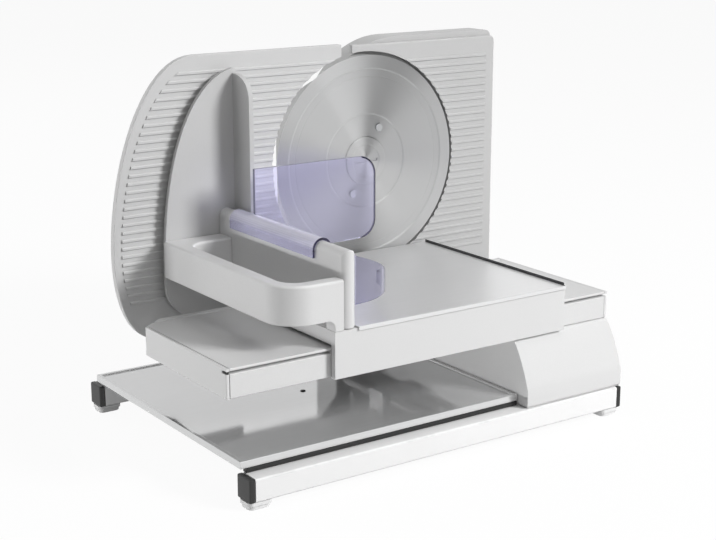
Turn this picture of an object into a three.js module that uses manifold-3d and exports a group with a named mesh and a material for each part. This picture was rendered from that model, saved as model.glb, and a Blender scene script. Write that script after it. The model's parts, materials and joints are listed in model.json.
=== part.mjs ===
// Electric food slicer with a sliding food carriage, an adjustable stop plate and a slice tray.
// Millimetres, +Z up, +X along the carriage travel, +Y away from the user.
// The origin is on the standing surface, under the centre of the whole machine.
import * as THREE from 'three';
import { mergeVertices } from 'three/addons/utils/BufferGeometryUtils.js';
import Module from 'manifold-3d';

const wasm = await Module();
wasm.setup();

// Clearances
const seatGap = 0.3;
const runGap = 0.5;
const bearingGap = 0.12;
const overrun = 1.5;
const gearOverlap = 1;
const shaftRoom = 3;

// Base rails
const baseLength = 360;
const baseDepth = 263;
const railSection = 18;
const railWall = 2;
const capThickness = 5;
const capPlug = 8;
const footHeight = 6;
const footLength = 20;
const footWidth = 16;
const footCorner = 4;
const footTaper = 1;
const crossBarWidth = 20;
const crossBarHeight = 10;
const crossBarInset = 80;
const floorPlateThickness = 4;

// Slice tray
const trayRise = 4.2;
const trayEdge = 5.6;
const traySheet = 1.2;
const trayRecess = 1;
const trayRim = 3.5;
const trayLap = 5;
const trayEndGap = 1;

// Pedestal under the right end of the beam
const pedestalLength = 102;
const pedestalHeight = 54.4;
const pedestalWall = 3;
const plinthHeight = 14;
const plinthSetback = 1.5;
const flareBulge = 5;

// Guide beam
const beamLength = 365;
const beamDepth = 140;
const beamCornerLength = 21;
const beamCornerDepth = 16;
const beamHeight = 22.5;
const beamSetback = 21.5;
const beamWall = 3;
const beamCheek = 10;
const beamCap = 3;
const slotHeight = 2;
const slotDepth = 6;
const creaseInset = 6.2;
const creaseWidth = 1.8;
const creaseDepth = 1.5;
const slotDrop = 2.2;

// Carriage
const carriageLength = 224;
const carriageOffset = -48.3;
const apronThickness = 5;
const deckClearance = 2.5;
const deckHeight = 10.7;
const deckSkin = 4;
const deckSkirt = 4;
const tableThickness = 1.2;
const tableLip = 2;
const tableRim = 2.2;
const tableGroove = 0.6;
const bladeStandOff = 4.2;
const hookWeb = 4;
const shoeLength = 36;
const shoeWidth = 12;
const shoeSpread = 94;

// Food fence, hand shield and handle
const fenceThickness = 12;
const fenceInset = 8;
const fenceHeight = 59;
const fenceSetback = 0.2;
const shieldThickness = 4;
const shieldWidth = 69;
const shieldTop = 171;
const shieldDrop = 31;
const shieldCorner = 23;
const gussetThickness = 4;
const gussetDepth = 26;
const handleReach = 52;
const handleBar = 12;
const handleHeight = 30;
const handleLift = 7;
const handleBack = 19.5;
const handleHeel = 2;
const handleCorner = 26;
const handleFillet = 6;

// End-piece pusher
const saddleWall = 1.8;
const saddleLeg = 6.5;
const saddleFront = 37.8;
const saddleLength = 123;
const pusherPlate = 3;
const pusherPlateAt = 96;
const pusherReach = 109;
const pusherRise = 36.5;
const pusherHang = 33;
const pusherCorner = 16;
const guardRadius = 57;
const guardBack = 27;
const guardHeight = 38;
const guardTip = 6;
const guardWall = 2.4;

// Blade and the plates around it
const bladeRadius = 92;
const bladeBevel = 12;
const bladeAxisInset = 116.7;
const bladeAxisHeight = 80;
const bladeSetback = 184;
const bladeClearance = 3;
const bladeSheet = 1.4;
const hubBossRadius = 21;
const hubFlangeRadius = 41;
const hubShaftRadius = 10;
const bladeScrewCircle = 31.4;
const bladeScrewRadius = 1.9;
const bladeScrewHead = 3.4;
const bladeScrewAngle = 63;
const plateTop = 101;
const plateThickness = 6;
const fixedPlateReach = 143.2;
const fixedPlateLeft = -13.9;
const fixedMargin = 10;
const ribPitch = 6.47;
const ribWidth = 3;
const ribProud = 1.2;
const ribInset = 12;
const ribMargin = 6.8;
const ribStart = 31.7;

// Stop plate and thickness gauge
const sliceThickness = 0.6;
const sliceMaximum = 16;
const stopReach = 242.7;
const stopCrown = 1.2;
const stopDrop = 126.2;
const stopNose = -24.6;
const stopFoot = -53.3;
const stopHeel = 15;
const stopStep = 28;
const bracketThickness = 3;
const bracketWidth = 68;
const bracketRise = 72;
const armHeight = 18;
const rodRadius = 4;
const rodDrop = 10;
const rodSpacing = 20;
const rodOffset = -8.3;
const rodLength = 110;
const rodGuideLength = 20;
const rodGuideWidth = 18;
const camAxisSetback = 160;
const camAxisHeight = 26;
const camSmallRadius = 8;
const camWidth = 8;
const camInset = 52;
const camTurn = 300;
const camNose = 2.5;
const dialRadius = 21;
const dialThickness = 15;
const dialShaftRadius = 4;
const dialFlutes = 12;

// Gear case, motor and gears
const towerReach = 45.3;
const caseNotchWidth = 42;
const caseNotchHeight = 49;
const towerCrown = 4.6;
const towerRound = 80;
const towerCorner = 6;
const towerWall = 3;
const gearCaseDepth = 24;
const motorCoverDepth = 44.5;
const motorCoverTop = 66;
const motorCoverRound = 60;
const bladeTeeth = 64;
const idlerSmallTeeth = 16;
const bladeModule = 1.25;
const idlerLargeTeeth = 60;
const pinionTeeth = 15;
const motorModule = 1;
const bladeGearWidth = 8;
const motorGearWidth = 6;
const gearBacklash = 0.3;
const pressureAngle = 20;
const addendum = 0.85;
const dedendum = 1.2;
const idlerAngle = -40;
const motorAngle = -75;
const idlerAxleRadius = 3;
const bushWall = 4;
const bushLength = 6;
const motorPlateThickness = 2;
const motorRadius = 29;
const motorLength = 36;
const motorWall = 2;
const rotorRadius = 20;
const rotorShaftRadius = 2.5;
const postRadius = 4;
const ventCount = 8;
const ventPitch = 9;
const ventWidth = 4;
const ventLength = 44;

// Controls and power inlet
const startButtonRadius = 9;
const lockButtonRadius = 6;
const buttonProud = 6;
const buttonTravel = 4;
const buttonSpacing = 26;
const startButtonSetback = 60;
const buttonHeight = 26;
const switchSize = 22;
const glandRadius = 7;
const glandBore = 3.5;
const glandProud = 10;
const glandHeight = 20;
const glandInset = 30;
const screwHeadRadius = 3.5;
const screwHeadHeight = 2;
const screwShankRadius = 1.6;
const screwLength = 8;
const coverScrewInset = 9;

// Places worked out from the sizes above
const baseLeft = -baseLength / 2;
const baseRight = baseLength / 2;
const baseFront = -baseDepth / 2;
const baseRear = baseDepth / 2;
const railTop = footHeight + railSection;
const trayBottom = railTop + trayRise;
const trayTop = trayBottom + trayEdge;
const pedestalLeft = baseRight - pedestalLength;
const pedestalBottom = railTop + seatGap;
const pedestalTop = pedestalBottom + pedestalHeight;
const pedestalFront = baseFront + plinthSetback;
const pedestalRear = baseRear - plinthSetback;
const beamRight = baseRight;
const beamLeft = beamRight - beamLength;
const beamFront = baseFront + beamSetback;
const beamRear = beamFront + beamDepth;
const beamBottom = pedestalTop + seatGap;
const beamTop = beamBottom + beamHeight;
const slotTop = beamTop - slotDrop;
const slotBottom = slotTop - slotHeight;
const deckBottom = beamTop + deckClearance;
const deckTop = deckBottom + deckHeight;
const tableTop = deckTop + seatGap + tableThickness;
const apronFront = beamFront - runGap * 2 - apronThickness;
const bladeX = baseRight - bladeAxisInset;
const bladeZ = tableTop + bladeAxisHeight;
const bladeY = beamFront + bladeSetback;
const carriageRight = bladeX + carriageLength / 2 + carriageOffset;
const carriageLeft = carriageRight - carriageLength;
const carriageRear = bladeY - bladeStandOff;
const fenceLeft = carriageLeft + fenceInset;
const fenceRight = fenceLeft + fenceThickness;
const fenceMiddle = (fenceLeft + fenceRight) / 2;
const fenceFront = apronFront + fenceSetback;
const shieldFront = carriageRear - shieldThickness;
const fenceRear = shieldFront - seatGap;
const fenceRound = fenceThickness / 2;
const fenceCrown = deckTop + seatGap + fenceHeight - fenceRound;
const saddleInner = fenceRound + runGap;
const saddleOuter = saddleInner + saddleWall;
const gussetLeft = fenceMiddle + saddleOuter + runGap;
const gussetRight = gussetLeft + gussetThickness;
const fixedRight = bladeX + fixedPlateReach;
const plateCeiling = bladeZ + plateTop;
const plateFront = bladeY + ribProud;
const plateRear = plateFront + plateThickness;
const openRadius = bladeRadius + bladeClearance;
const stopFace = bladeY + sliceThickness;
const stopRear = stopFace + ribProud + plateThickness;
const stopBottom = bladeZ - stopDrop;
const stopTop = plateCeiling + stopCrown;
const towerFront = plateRear + seatGap;
const towerLeft = bladeX - towerReach;
const towerTop = plateCeiling + towerCrown;
const towerBottom = pedestalTop + seatGap;
const notchRight = towerLeft + caseNotchWidth;
const notchTop = towerBottom + caseNotchHeight;
const gearCaseRear = towerFront + gearCaseDepth;
const coverFront = gearCaseRear + seatGap;
const coverRear = coverFront + motorCoverDepth;
const coverTop = bladeZ + motorCoverTop;
const camY = baseFront + camAxisSetback;
const camZ = railTop + camAxisHeight;
const camRight = baseRight - camInset;
const camLeft = camRight - camWidth;
const camLead = sliceMaximum / THREE.MathUtils.degToRad(camTurn);
const rodZ = beamBottom - rodDrop;
const rodMiddle = bladeX + rodOffset;
const bracketFront = stopRear + seatGap;
const bracketRear = bracketFront + bracketThickness;

// Finishes
const finish = (color, roughness, metalness) => new THREE.MeshStandardMaterial(
  { color, roughness, metalness });
const silverPlastic = () => finish(0xcfd0d1, 0.45, 0);
const shieldPlastic = () => finish(0xb9babb, 0.45, 0);
const palePlastic = () => finish(0xe6e6e4, 0.5, 0);
const blackPlastic = () => finish(0x2b2b2d, 0.55, 0);
const darkPlastic = () => finish(0x55565a, 0.5, 0);
const whitePaint = () => finish(0xeeeeec, 0.4, 0.1);
const mirrorSteel = () => finish(0xc9cbce, 0.12, 1);
const brushedSteel = () => finish(0xbfc1c4, 0.28, 1);
const shaftSteel = () => finish(0x9a9ca0, 0.3, 1);
const bearingBronze = () => finish(0xa9824a, 0.35, 1);
const gearNylon = () => finish(0xe9e2d0, 0.55, 0);
const tintedClear = () => finish(0xb9b6dd, 0.12, 0);
const paleRubber = () => finish(0xd9d9d6, 0.85, 0);

// Closed meshes to solids and back
function toSolid(geometry) {
  const bare = geometry.clone();
  bare.deleteAttribute('normal');
  bare.deleteAttribute('uv');
  const merged = mergeVertices(bare, 1e-4);
  const corners = merged.index.array;
  const kept = [];
  for (let i = 0; i < corners.length; i += 3) {
    const [a, b, c] = [corners[i], corners[i + 1], corners[i + 2]];
    if (a !== b && b !== c && c !== a) {
      kept.push(a, b, c);
    }
  }
  const build = (list) => new wasm.Manifold(new wasm.Mesh({
    numProp: 3,
    vertProperties: new Float32Array(merged.attributes.position.array),
    triVerts: new Uint32Array(list),
  }));
  const solid = build(kept);
  if (solid.volume() > 0) {
    return solid;
  }
  const turned = [];
  for (let i = 0; i < kept.length; i += 3) {
    turned.push(kept[i], kept[i + 2], kept[i + 1]);
  }
  return build(turned);
}

function toGeometry(solid) {
  const mesh = solid.getMesh();
  const geometry = new THREE.BufferGeometry();
  geometry.setAttribute('position', new THREE.BufferAttribute(new Float32Array(mesh.vertProperties), 3));
  geometry.setIndex(new THREE.BufferAttribute(new Uint32Array(mesh.triVerts), 1));
  geometry.computeVertexNormals();
  return geometry;
}

const join = (first, ...rest) => rest.reduce((whole, solid) => whole.add(solid), first);
const cut = (first, ...rest) => rest.reduce((whole, solid) => whole.subtract(solid), first);

function piece(name, solid, material) {
  const mesh = new THREE.Mesh(toGeometry(solid), material);
  mesh.name = name;
  return mesh;
}

function group(x, y, z, ...children) {
  const holder = new THREE.Group();
  holder.position.set(x, y, z);
  holder.add(...children);
  return holder;
}

// Basic solids
function block(x0, x1, y0, y1, z0, z1) {
  const geometry = new THREE.BoxGeometry(x1 - x0, y1 - y0, z1 - z0);
  geometry.translate((x0 + x1) / 2, (y0 + y1) / 2, (z0 + z1) / 2);
  return toSolid(geometry);
}

function extrude(shape, depth, matrix, curveSegments) {
  const geometry = new THREE.ExtrudeGeometry(shape, { depth, bevelEnabled: false, curveSegments });
  geometry.applyMatrix4(matrix);
  return toSolid(geometry);
}

// A shape drawn in X and Z, pushed along +Y from one place to another
function slabY(shape, y0, y1, curveSegments = 8) {
  const matrix = new THREE.Matrix4().makeBasis(
    new THREE.Vector3(1, 0, 0), new THREE.Vector3(0, 0, 1), new THREE.Vector3(0, -1, 0));
  matrix.setPosition(0, y1, 0);
  return extrude(shape, y1 - y0, matrix, curveSegments);
}

// A shape drawn in Y and Z, pushed along +X from one place to another
function slabX(shape, x0, x1, curveSegments = 8) {
  const matrix = new THREE.Matrix4().makeBasis(
    new THREE.Vector3(0, 1, 0), new THREE.Vector3(0, 0, 1), new THREE.Vector3(1, 0, 0));
  matrix.setPosition(x0, 0, 0);
  return extrude(shape, x1 - x0, matrix, curveSegments);
}

// A shape drawn in X and Y, pushed along +Z from one place to another
function slabZ(shape, z0, z1, curveSegments = 8) {
  return extrude(shape, z1 - z0, new THREE.Matrix4().setPosition(0, 0, z0), curveSegments);
}

function polygon(points) {
  return new THREE.Shape(points.map(([u, v]) => new THREE.Vector2(u, v)));
}

function disc(radius, u = 0, v = 0) {
  const shape = new THREE.Shape();
  shape.absarc(u, v, radius, 0, Math.PI * 2);
  return shape;
}

const rodY = (radius, y0, y1, x = 0, z = 0, sides = 24) => slabY(disc(radius, x, z), y0, y1, sides / 2);
const rodX = (radius, x0, x1, y = 0, z = 0, sides = 24) => slabX(disc(radius, y, z), x0, x1, sides / 2);
const rodZUp = (radius, z0, z1, x = 0, y = 0, sides = 16) => slabZ(disc(radius, x, y), z0, z1, sides / 2);

// A profile of radius and Y, turned round the Y axis through the origin
function turnedY(profile, sides = 64) {
  return toSolid(new THREE.LatheGeometry(profile.map(([r, y]) => new THREE.Vector2(r, y)), sides));
}

function roundedBox(u0, u1, v0, v1, radius) {
  const shape = new THREE.Shape();
  shape.moveTo(u0 + radius, v0);
  shape.lineTo(u1 - radius, v0);
  shape.absarc(u1 - radius, v0 + radius, radius, -Math.PI / 2, 0);
  shape.lineTo(u1, v1 - radius);
  shape.absarc(u1 - radius, v1 - radius, radius, 0, Math.PI / 2);
  shape.lineTo(u0 + radius, v1);
  shape.absarc(u0 + radius, v1 - radius, radius, Math.PI / 2, Math.PI);
  shape.lineTo(u0, v0 + radius);
  shape.absarc(u0 + radius, v0 + radius, radius, Math.PI, Math.PI * 1.5);
  return shape;
}

// A pan-head screw along +Y, its head seated at y = 0 and its shank running to positive Y
function screwY() {
  return turnedY([
    [0, -screwHeadHeight], [screwHeadRadius * 0.7, -screwHeadHeight],
    [screwHeadRadius, -screwHeadHeight / 2], [screwHeadRadius, 0], [screwShankRadius, 0],
    [screwShankRadius, screwLength], [0, screwLength],
  ], 10);
}

// Involute spur gear outline with one tooth centred on the given angle
function gearOutline(teeth, module, phase) {
  const pitch = (teeth * module) / 2;
  const base = pitch * Math.cos(THREE.MathUtils.degToRad(pressureAngle));
  const tip = pitch + addendum * module;
  const root = pitch - dedendum * module;
  const flank = Math.max(base, root);
  const involute = (r) => Math.tan(Math.acos(base / r)) - Math.acos(base / r);
  const halfTooth = Math.PI / (2 * teeth) - gearBacklash / (2 * pitch);
  const halfAngle = (r) => halfTooth + involute(pitch) - involute(r);
  const radii = [flank, tip];
  const points = [];
  const put = (r, angle) => points.push([r * Math.cos(angle), r * Math.sin(angle)]);
  for (let k = 0; k < teeth; k += 1) {
    const middle = phase + (k * Math.PI * 2) / teeth;
    if (root < flank) {
      put(root, middle - halfAngle(flank));
    }
    radii.forEach((r) => put(r, middle - halfAngle(r)));
    [...radii].reverse().forEach((r) => put(r, middle + halfAngle(r)));
    if (root < flank) {
      put(root, middle + halfAngle(flank));
    }
  }
  return polygon(points);
}

// Horizontal ribs standing proud of a plate, trimmed to an outline
function ribs(outline, x0, x1, zLow, zHigh, yFace, yBack) {
  const rows = [];
  for (let z = zLow; z + ribWidth <= zHigh; z += ribPitch) {
    const slope = ribProud * 0.5;
    const profile = polygon([
      [yBack, z], [yFace + slope, z], [yFace, z + slope], [yFace, z + ribWidth - slope],
      [yFace + slope, z + ribWidth], [yBack, z + ribWidth],
    ]);
    rows.push(slabX(profile, x0, x1));
  }
  return join(...rows).intersect(slabY(outline, yFace - 1, yBack + 1, 24));
}

// Base: rails with end caps and feet, tied by a cross bar and a floor plate
function makeRail(name, y0) {
  const inner = railSection - 2 * railWall;
  const tube = cut(
    block(baseLeft + capThickness, baseRight - capThickness, y0, y0 + railSection, footHeight, railTop),
    block(baseLeft, baseRight, y0 + railWall, y0 + railWall + inner,
      footHeight + railWall, footHeight + railWall + inner),
  );
  return piece(name, tube, whitePaint());
}

function makeRailCap(name, side, y0) {
  const outer = side * (baseLength / 2);
  const face = side * (baseLength / 2 - capThickness + seatGap);
  const tip = side * (baseLength / 2 - capThickness - capPlug);
  const skin = railWall + seatGap;
  const cover = block(Math.min(outer, face), Math.max(outer, face), y0, y0 + railSection,
    footHeight, railTop);
  const plug = block(Math.min(face, tip), Math.max(face, tip), y0 + skin, y0 + railSection - skin,
    footHeight + skin, railTop - skin);
  return piece(name, join(cover, plug), blackPlastic());
}

function makeFoot(name, x, y) {
  const top = footHeight - seatGap;
  const pad = (inset, z0, z1) => slabZ(roundedBox(
    x - footLength / 2 + inset, x + footLength / 2 - inset,
    y - footWidth / 2 + inset, y + footWidth / 2 - inset, footCorner), z0, z1, 3);
  return piece(name, join(pad(0, top / 2, top), pad(footTaper, 0, top / 2)), paleRubber());
}

function makeBase() {
  const base = new THREE.Group();
  const rows = [['front', baseFront], ['rear', baseRear - railSection]];
  rows.forEach(([row, y0]) => {
    base.add(makeRail(`${row}_rail`, y0));
    [['left', -1], ['right', 1]].forEach(([end, side]) => {
      base.add(makeRailCap(`rail_cap_${row}_${end}`, side, y0));
      base.add(makeFoot(`foot_${row}_${end}`, side * (baseLength - footLength) / 2, y0 + railSection / 2));
    });
  });
  const inFront = baseFront + railSection + seatGap;
  const inRear = baseRear - railSection - seatGap;
  const middle = footHeight + railSection / 2;
  base.add(piece('cross_bar', block(baseLeft + crossBarInset, baseLeft + crossBarInset + crossBarWidth,
    inFront, inRear, middle - crossBarHeight / 2, middle + crossBarHeight / 2), shaftSteel()));
  base.add(piece('floor_plate', block(pedestalLeft, baseRight - capThickness, inFront, inRear,
    railTop - floorPlateThickness, railTop), darkPlastic()));
  const lap = baseFront + railSection - trayLap;
  const strip = (y0) => block(baseLeft + capThickness, pedestalLeft - trayEndGap, y0, y0 + trayLap,
    railTop + seatGap, trayBottom - seatGap);
  base.add(piece('tray_runner_front', strip(lap), blackPlastic()));
  base.add(piece('tray_runner_rear', strip(-lap - trayLap), blackPlastic()));
  return base;
}

// Slice tray: a polished sheet with a raised rim, turned down at its edges
function makeTray() {
  const [x0, x1] = [baseLeft, pedestalLeft - trayEndGap];
  const y1 = baseRear - railSection + trayLap;
  const sheetTop = trayTop - trayRecess;
  const tray = cut(
    block(x0, x1, -y1, y1, trayBottom, trayTop),
    block(x0 + trayRim, x1 - trayRim, -y1 + trayRim, y1 - trayRim, sheetTop, trayTop + 1),
    block(x0 + traySheet, x1 - traySheet, -y1 + traySheet, y1 - traySheet,
      trayBottom - 1, sheetTop - traySheet),
  );
  return piece('slice_tray', tray, mirrorSteel());
}

// Pedestal: a shell open below, with a flared front over a short upright plinth
function pedestalProfile(inset, bottom) {
  const front = pedestalFront + inset;
  const top = pedestalTop - inset;
  const plinth = pedestalBottom + plinthHeight;
  const crest = beamFront + inset;
  const shape = new THREE.Shape();
  shape.moveTo(front, bottom);
  shape.lineTo(front, plinth);
  shape.quadraticCurveTo((front + crest) / 2 - flareBulge / 2, (plinth + top) / 2 + flareBulge, crest, top);
  shape.lineTo(pedestalRear - inset, top);
  shape.lineTo(pedestalRear - inset, bottom);
  return shape;
}

function makePedestal() {
  const outer = slabX(pedestalProfile(0, pedestalBottom), pedestalLeft, baseRight);
  const inner = slabX(pedestalProfile(pedestalWall, pedestalBottom - 1),
    pedestalLeft + pedestalWall, baseRight - pedestalWall);
  const armReach = sliceMaximum + 4 * runGap + bracketThickness;
  const armSlot = block(pedestalLeft - 1, pedestalLeft + pedestalWall + 1,
    bracketFront - sliceThickness - 2 * runGap, bracketFront - sliceThickness - 2 * runGap + armReach,
    camZ - armHeight / 2 - 2 * runGap, camZ + armHeight / 2 + 2 * runGap);
  const wall = [baseRight - pedestalWall - 1, baseRight + 1];
  const shell = cut(
    outer, inner, armSlot,
    rodX(dialShaftRadius + seatGap, ...wall, camY, camZ),
    rodX(startButtonRadius + seatGap, ...wall, baseFront + startButtonSetback, railTop + buttonHeight),
    rodX(lockButtonRadius + seatGap, ...wall, baseFront + startButtonSetback + buttonSpacing,
      railTop + buttonHeight),
    rodY(glandRadius - 2, pedestalRear - pedestalWall - 1, pedestalRear + 1,
      baseRight - glandInset, railTop + glandHeight),
  );
  return piece('pedestal_shell', shell, silverPlastic());
}

// Guide beam: a hollow bar with a guide slot along its front and its rear
function makeBeam() {
  const [x0, x1] = [beamLeft + beamCap + seatGap, beamRight - beamCap - seatGap];
  const hollow = [beamFront + beamCheek, beamRear - beamCheek, beamBottom + beamWall, beamTop - beamWall];
  const corner = slabZ(polygon([
    [beamLeft - 1, beamRear - beamCornerDepth], [beamLeft, beamRear - beamCornerDepth],
    [beamLeft + beamCornerLength, beamRear], [beamLeft + beamCornerLength, beamRear + 1],
    [beamLeft - 1, beamRear + 1],
  ]), beamBottom - 1, beamTop + 1);
  const bar = cut(
    block(x0, x1, beamFront, beamRear, beamBottom, beamTop),
    block(x0 - 1, x1 + 1, ...hollow),
    block(x0 - 1, x1 + 1, beamFront - 1, beamFront + slotDepth, slotBottom, slotTop),
    block(x0 - 1, x1 + 1, beamRear - slotDepth, beamRear + 1, slotBottom, slotTop),
    block(x0 - 1, x1 + 1, beamRear - creaseInset - creaseWidth, beamRear - creaseInset,
      beamTop - creaseDepth, beamTop + 1),
    corner,
  );
  const inside = [hollow[0] + seatGap, hollow[1] - seatGap, hollow[2] + seatGap, hollow[3] - seatGap];
  const capBlock = (a, b) => block(Math.min(a, b), Math.max(a, b), beamFront, beamRear, beamBottom, beamTop);
  const plug = (a, b) => block(Math.min(a, b), Math.max(a, b), ...inside);
  const holder = new THREE.Group();
  holder.add(piece('guide_beam', bar, silverPlastic()));
  holder.add(piece('beam_cap_left', cut(
    join(capBlock(beamLeft, beamLeft + beamCap), plug(beamLeft + beamCap, x0 + capPlug)),
    block(beamLeft - 1, x0, beamFront - 1, beamFront + slotDepth, slotBottom, slotTop),
    corner,
  ), silverPlastic()));
  holder.add(piece('beam_cap_right', cut(
    join(capBlock(beamRight - beamCap, beamRight), plug(x1 - capPlug, beamRight - beamCap)),
    block(x1, beamRight + 1, beamFront - 1, beamFront + slotDepth, slotBottom, slotTop),
    block(x1, beamRight + 1, beamRear - slotDepth, beamRear + 1, slotBottom, slotTop),
  ), silverPlastic()));
  return holder;
}

// Carriage: a moulded frame hooked into both beam slots, with a steel table on top
function makeCarriageFrame() {
  const lipLow = slotBottom + runGap;
  const lipHigh = slotTop - runGap;
  const tipFront = beamFront + slotDepth - runGap * 2;
  const tipRear = beamRear - slotDepth + runGap * 2;
  const webFront = beamRear + runGap * 2;
  const apronRear = apronFront + apronThickness;
  const deck = cut(
    block(carriageLeft, carriageRight, apronFront, carriageRear, deckBottom, deckTop),
    block(carriageLeft + deckSkirt, carriageRight - deckSkirt, apronRear, carriageRear - deckSkirt,
      deckBottom - 1, deckTop - deckSkin),
  );
  const frame = join(
    deck,
    block(carriageLeft, carriageRight, apronFront, apronRear, beamBottom - runGap, deckTop),
    block(carriageLeft, carriageRight, apronRear, tipFront, lipLow, lipHigh),
    block(carriageLeft, carriageRight, webFront, webFront + hookWeb, lipLow, deckTop),
    block(carriageLeft, carriageRight, tipRear, webFront, lipLow, lipHigh),
  );
  const notch = block(carriageLeft - 1, gussetRight + seatGap, shieldFront - seatGap, carriageRear + 1,
    deckBottom - 1, deckTop + 1);
  return piece('carriage_frame', cut(frame, notch), silverPlastic());
}

function makeTable() {
  const [x0, x1] = [fenceRight + seatGap, carriageRight];
  const [y0, y1] = [apronFront, carriageRear];
  const low = deckTop + seatGap;
  const plate = cut(
    block(x0, x1, y0, y1, low, tableTop),
    block(x0 - 1, gussetRight + seatGap, shieldFront - seatGap, y1 + 1, low - 1, tableTop + 1),
  );
  const fold = block(x0, x1, y0 - seatGap - tableThickness, y0 + tableThickness, low, tableTop);
  const lip = block(x0, x1, y0 - seatGap - tableThickness, y0 - seatGap, low - tableLip, tableTop);
  const rim = block(x1 - tableThickness, x1, y0, y1, low, tableTop + tableRim);
  const groove = block(x1 - tableThickness - tableGroove, x1 - tableThickness, y0 - 2 * tableThickness,
    y1 + 1, tableTop - tableGroove, tableTop + 1);
  return piece('carriage_table', cut(join(plate, fold, lip, rim), groove), mirrorSteel());
}

function makeFence() {
  const shape = new THREE.Shape();
  shape.moveTo(fenceLeft, deckTop + seatGap);
  shape.lineTo(fenceRight, deckTop + seatGap);
  shape.lineTo(fenceRight, fenceCrown);
  shape.absarc(fenceMiddle, fenceCrown, fenceRound, 0, Math.PI);
  const bar = slabY(shape, fenceFront, fenceRear);
  const plan = new THREE.Shape();
  plan.moveTo(fenceLeft, fenceRear);
  plan.lineTo(fenceLeft, fenceFront + fenceRound);
  plan.absarc(fenceMiddle, fenceFront + fenceRound, fenceRound, Math.PI, Math.PI * 2);
  plan.lineTo(fenceRight, fenceRear);
  const rounded = slabZ(plan, deckTop, fenceCrown + fenceRound + 1);
  return piece('food_fence', bar.intersect(rounded), silverPlastic());
}

// Hand shield: an upright D-shaped plate with a gusset along its straight side
function makeShield() {
  const [low, high] = [tableTop - shieldDrop, tableTop + shieldTop];
  const left = gussetRight - shieldWidth;
  const belly = tableTop + shieldTop * 0.057;
  const plate = new THREE.Shape();
  plate.moveTo(gussetRight, low);
  plate.lineTo(gussetRight, high - gussetThickness);
  plate.quadraticCurveTo(gussetRight, high, gussetRight - gussetThickness, high);
  plate.bezierCurveTo(
    gussetRight - shieldWidth * 0.672, high - shieldTop * 0.057,
    left, tableTop + shieldTop * 0.549, left, belly);
  plate.lineTo(left, tableTop - gussetThickness / 2);
  plate.quadraticCurveTo(left, low + shieldCorner * 0.47, left + shieldCorner, low);
  const wing = new THREE.Shape();
  const wingFront = shieldFront - gussetDepth;
  wing.moveTo(wingFront, tableTop + seatGap);
  wing.lineTo(shieldFront + 1, tableTop + seatGap);
  wing.lineTo(shieldFront + 1, high - gussetThickness);
  wing.quadraticCurveTo(wingFront, high - gussetThickness, wingFront, high - gussetDepth);
  return piece('hand_shield', join(
    slabY(plate, shieldFront, carriageRear, 20),
    slabX(wing, gussetLeft, gussetRight),
  ), shieldPlastic());
}

// Handle: an upright-walled loop whose two ends meet the fence
function makeHandle() {
  const right = fenceLeft - seatGap;
  const left = fenceLeft - handleReach;
  const [front, rear] = [apronFront, shieldFront - seatGap];
  const loop = (inset, back, heel) => {
    const radius = handleCorner - inset;
    const shape = new THREE.Shape();
    shape.moveTo(right + inset, front + inset);
    shape.lineTo(right + inset, rear - back);
    shape.lineTo(left + inset + heel, rear - back);
    shape.absarc(left + inset + heel, rear - back - heel, heel, Math.PI / 2, Math.PI);
    shape.lineTo(left + inset, front + inset + radius);
    shape.absarc(left + inset + radius, front + inset + radius, radius, Math.PI, Math.PI * 1.5);
    return shape;
  };
  const low = tableTop + handleLift;
  const bar = cut(
    slabZ(loop(0, 0, handleHeel), low, low + handleHeight, 8),
    slabZ(loop(handleBar, handleBack, handleCorner - handleBar), low - 1, low + handleHeight + 1, 8),
  );
  const foot = new THREE.Shape();
  foot.moveTo(carriageLeft - handleFillet, low + 1);
  foot.lineTo(right, low + 1);
  foot.lineTo(right, deckTop + seatGap);
  foot.lineTo(carriageLeft, deckTop + seatGap);
  foot.lineTo(carriageLeft, low - handleFillet);
  foot.absarc(carriageLeft - handleFillet, low - handleFillet, handleFillet, 0, Math.PI / 2);
  return piece('carriage_handle', join(bar, slabY(foot, front, front + handleBar)), silverPlastic());
}

function makeShoes() {
  const middle = (carriageLeft + carriageRight) / 2;
  const front = beamFront + slotDepth + shoeWidth;
  const rear = beamRear - slotDepth - shoeWidth;
  const shoe = (name, x, y) => piece(name, block(x - shoeLength / 2, x + shoeLength / 2,
    y - shoeWidth / 2, y + shoeWidth / 2, beamTop + seatGap, deckTop - deckSkin - seatGap), gearNylon());
  return [
    shoe('glide_shoe_front_left', middle - shoeSpread / 2, front),
    shoe('glide_shoe_front_right', middle + shoeSpread / 2, front),
    shoe('glide_shoe_rear', middle, rear),
  ];
}

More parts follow.
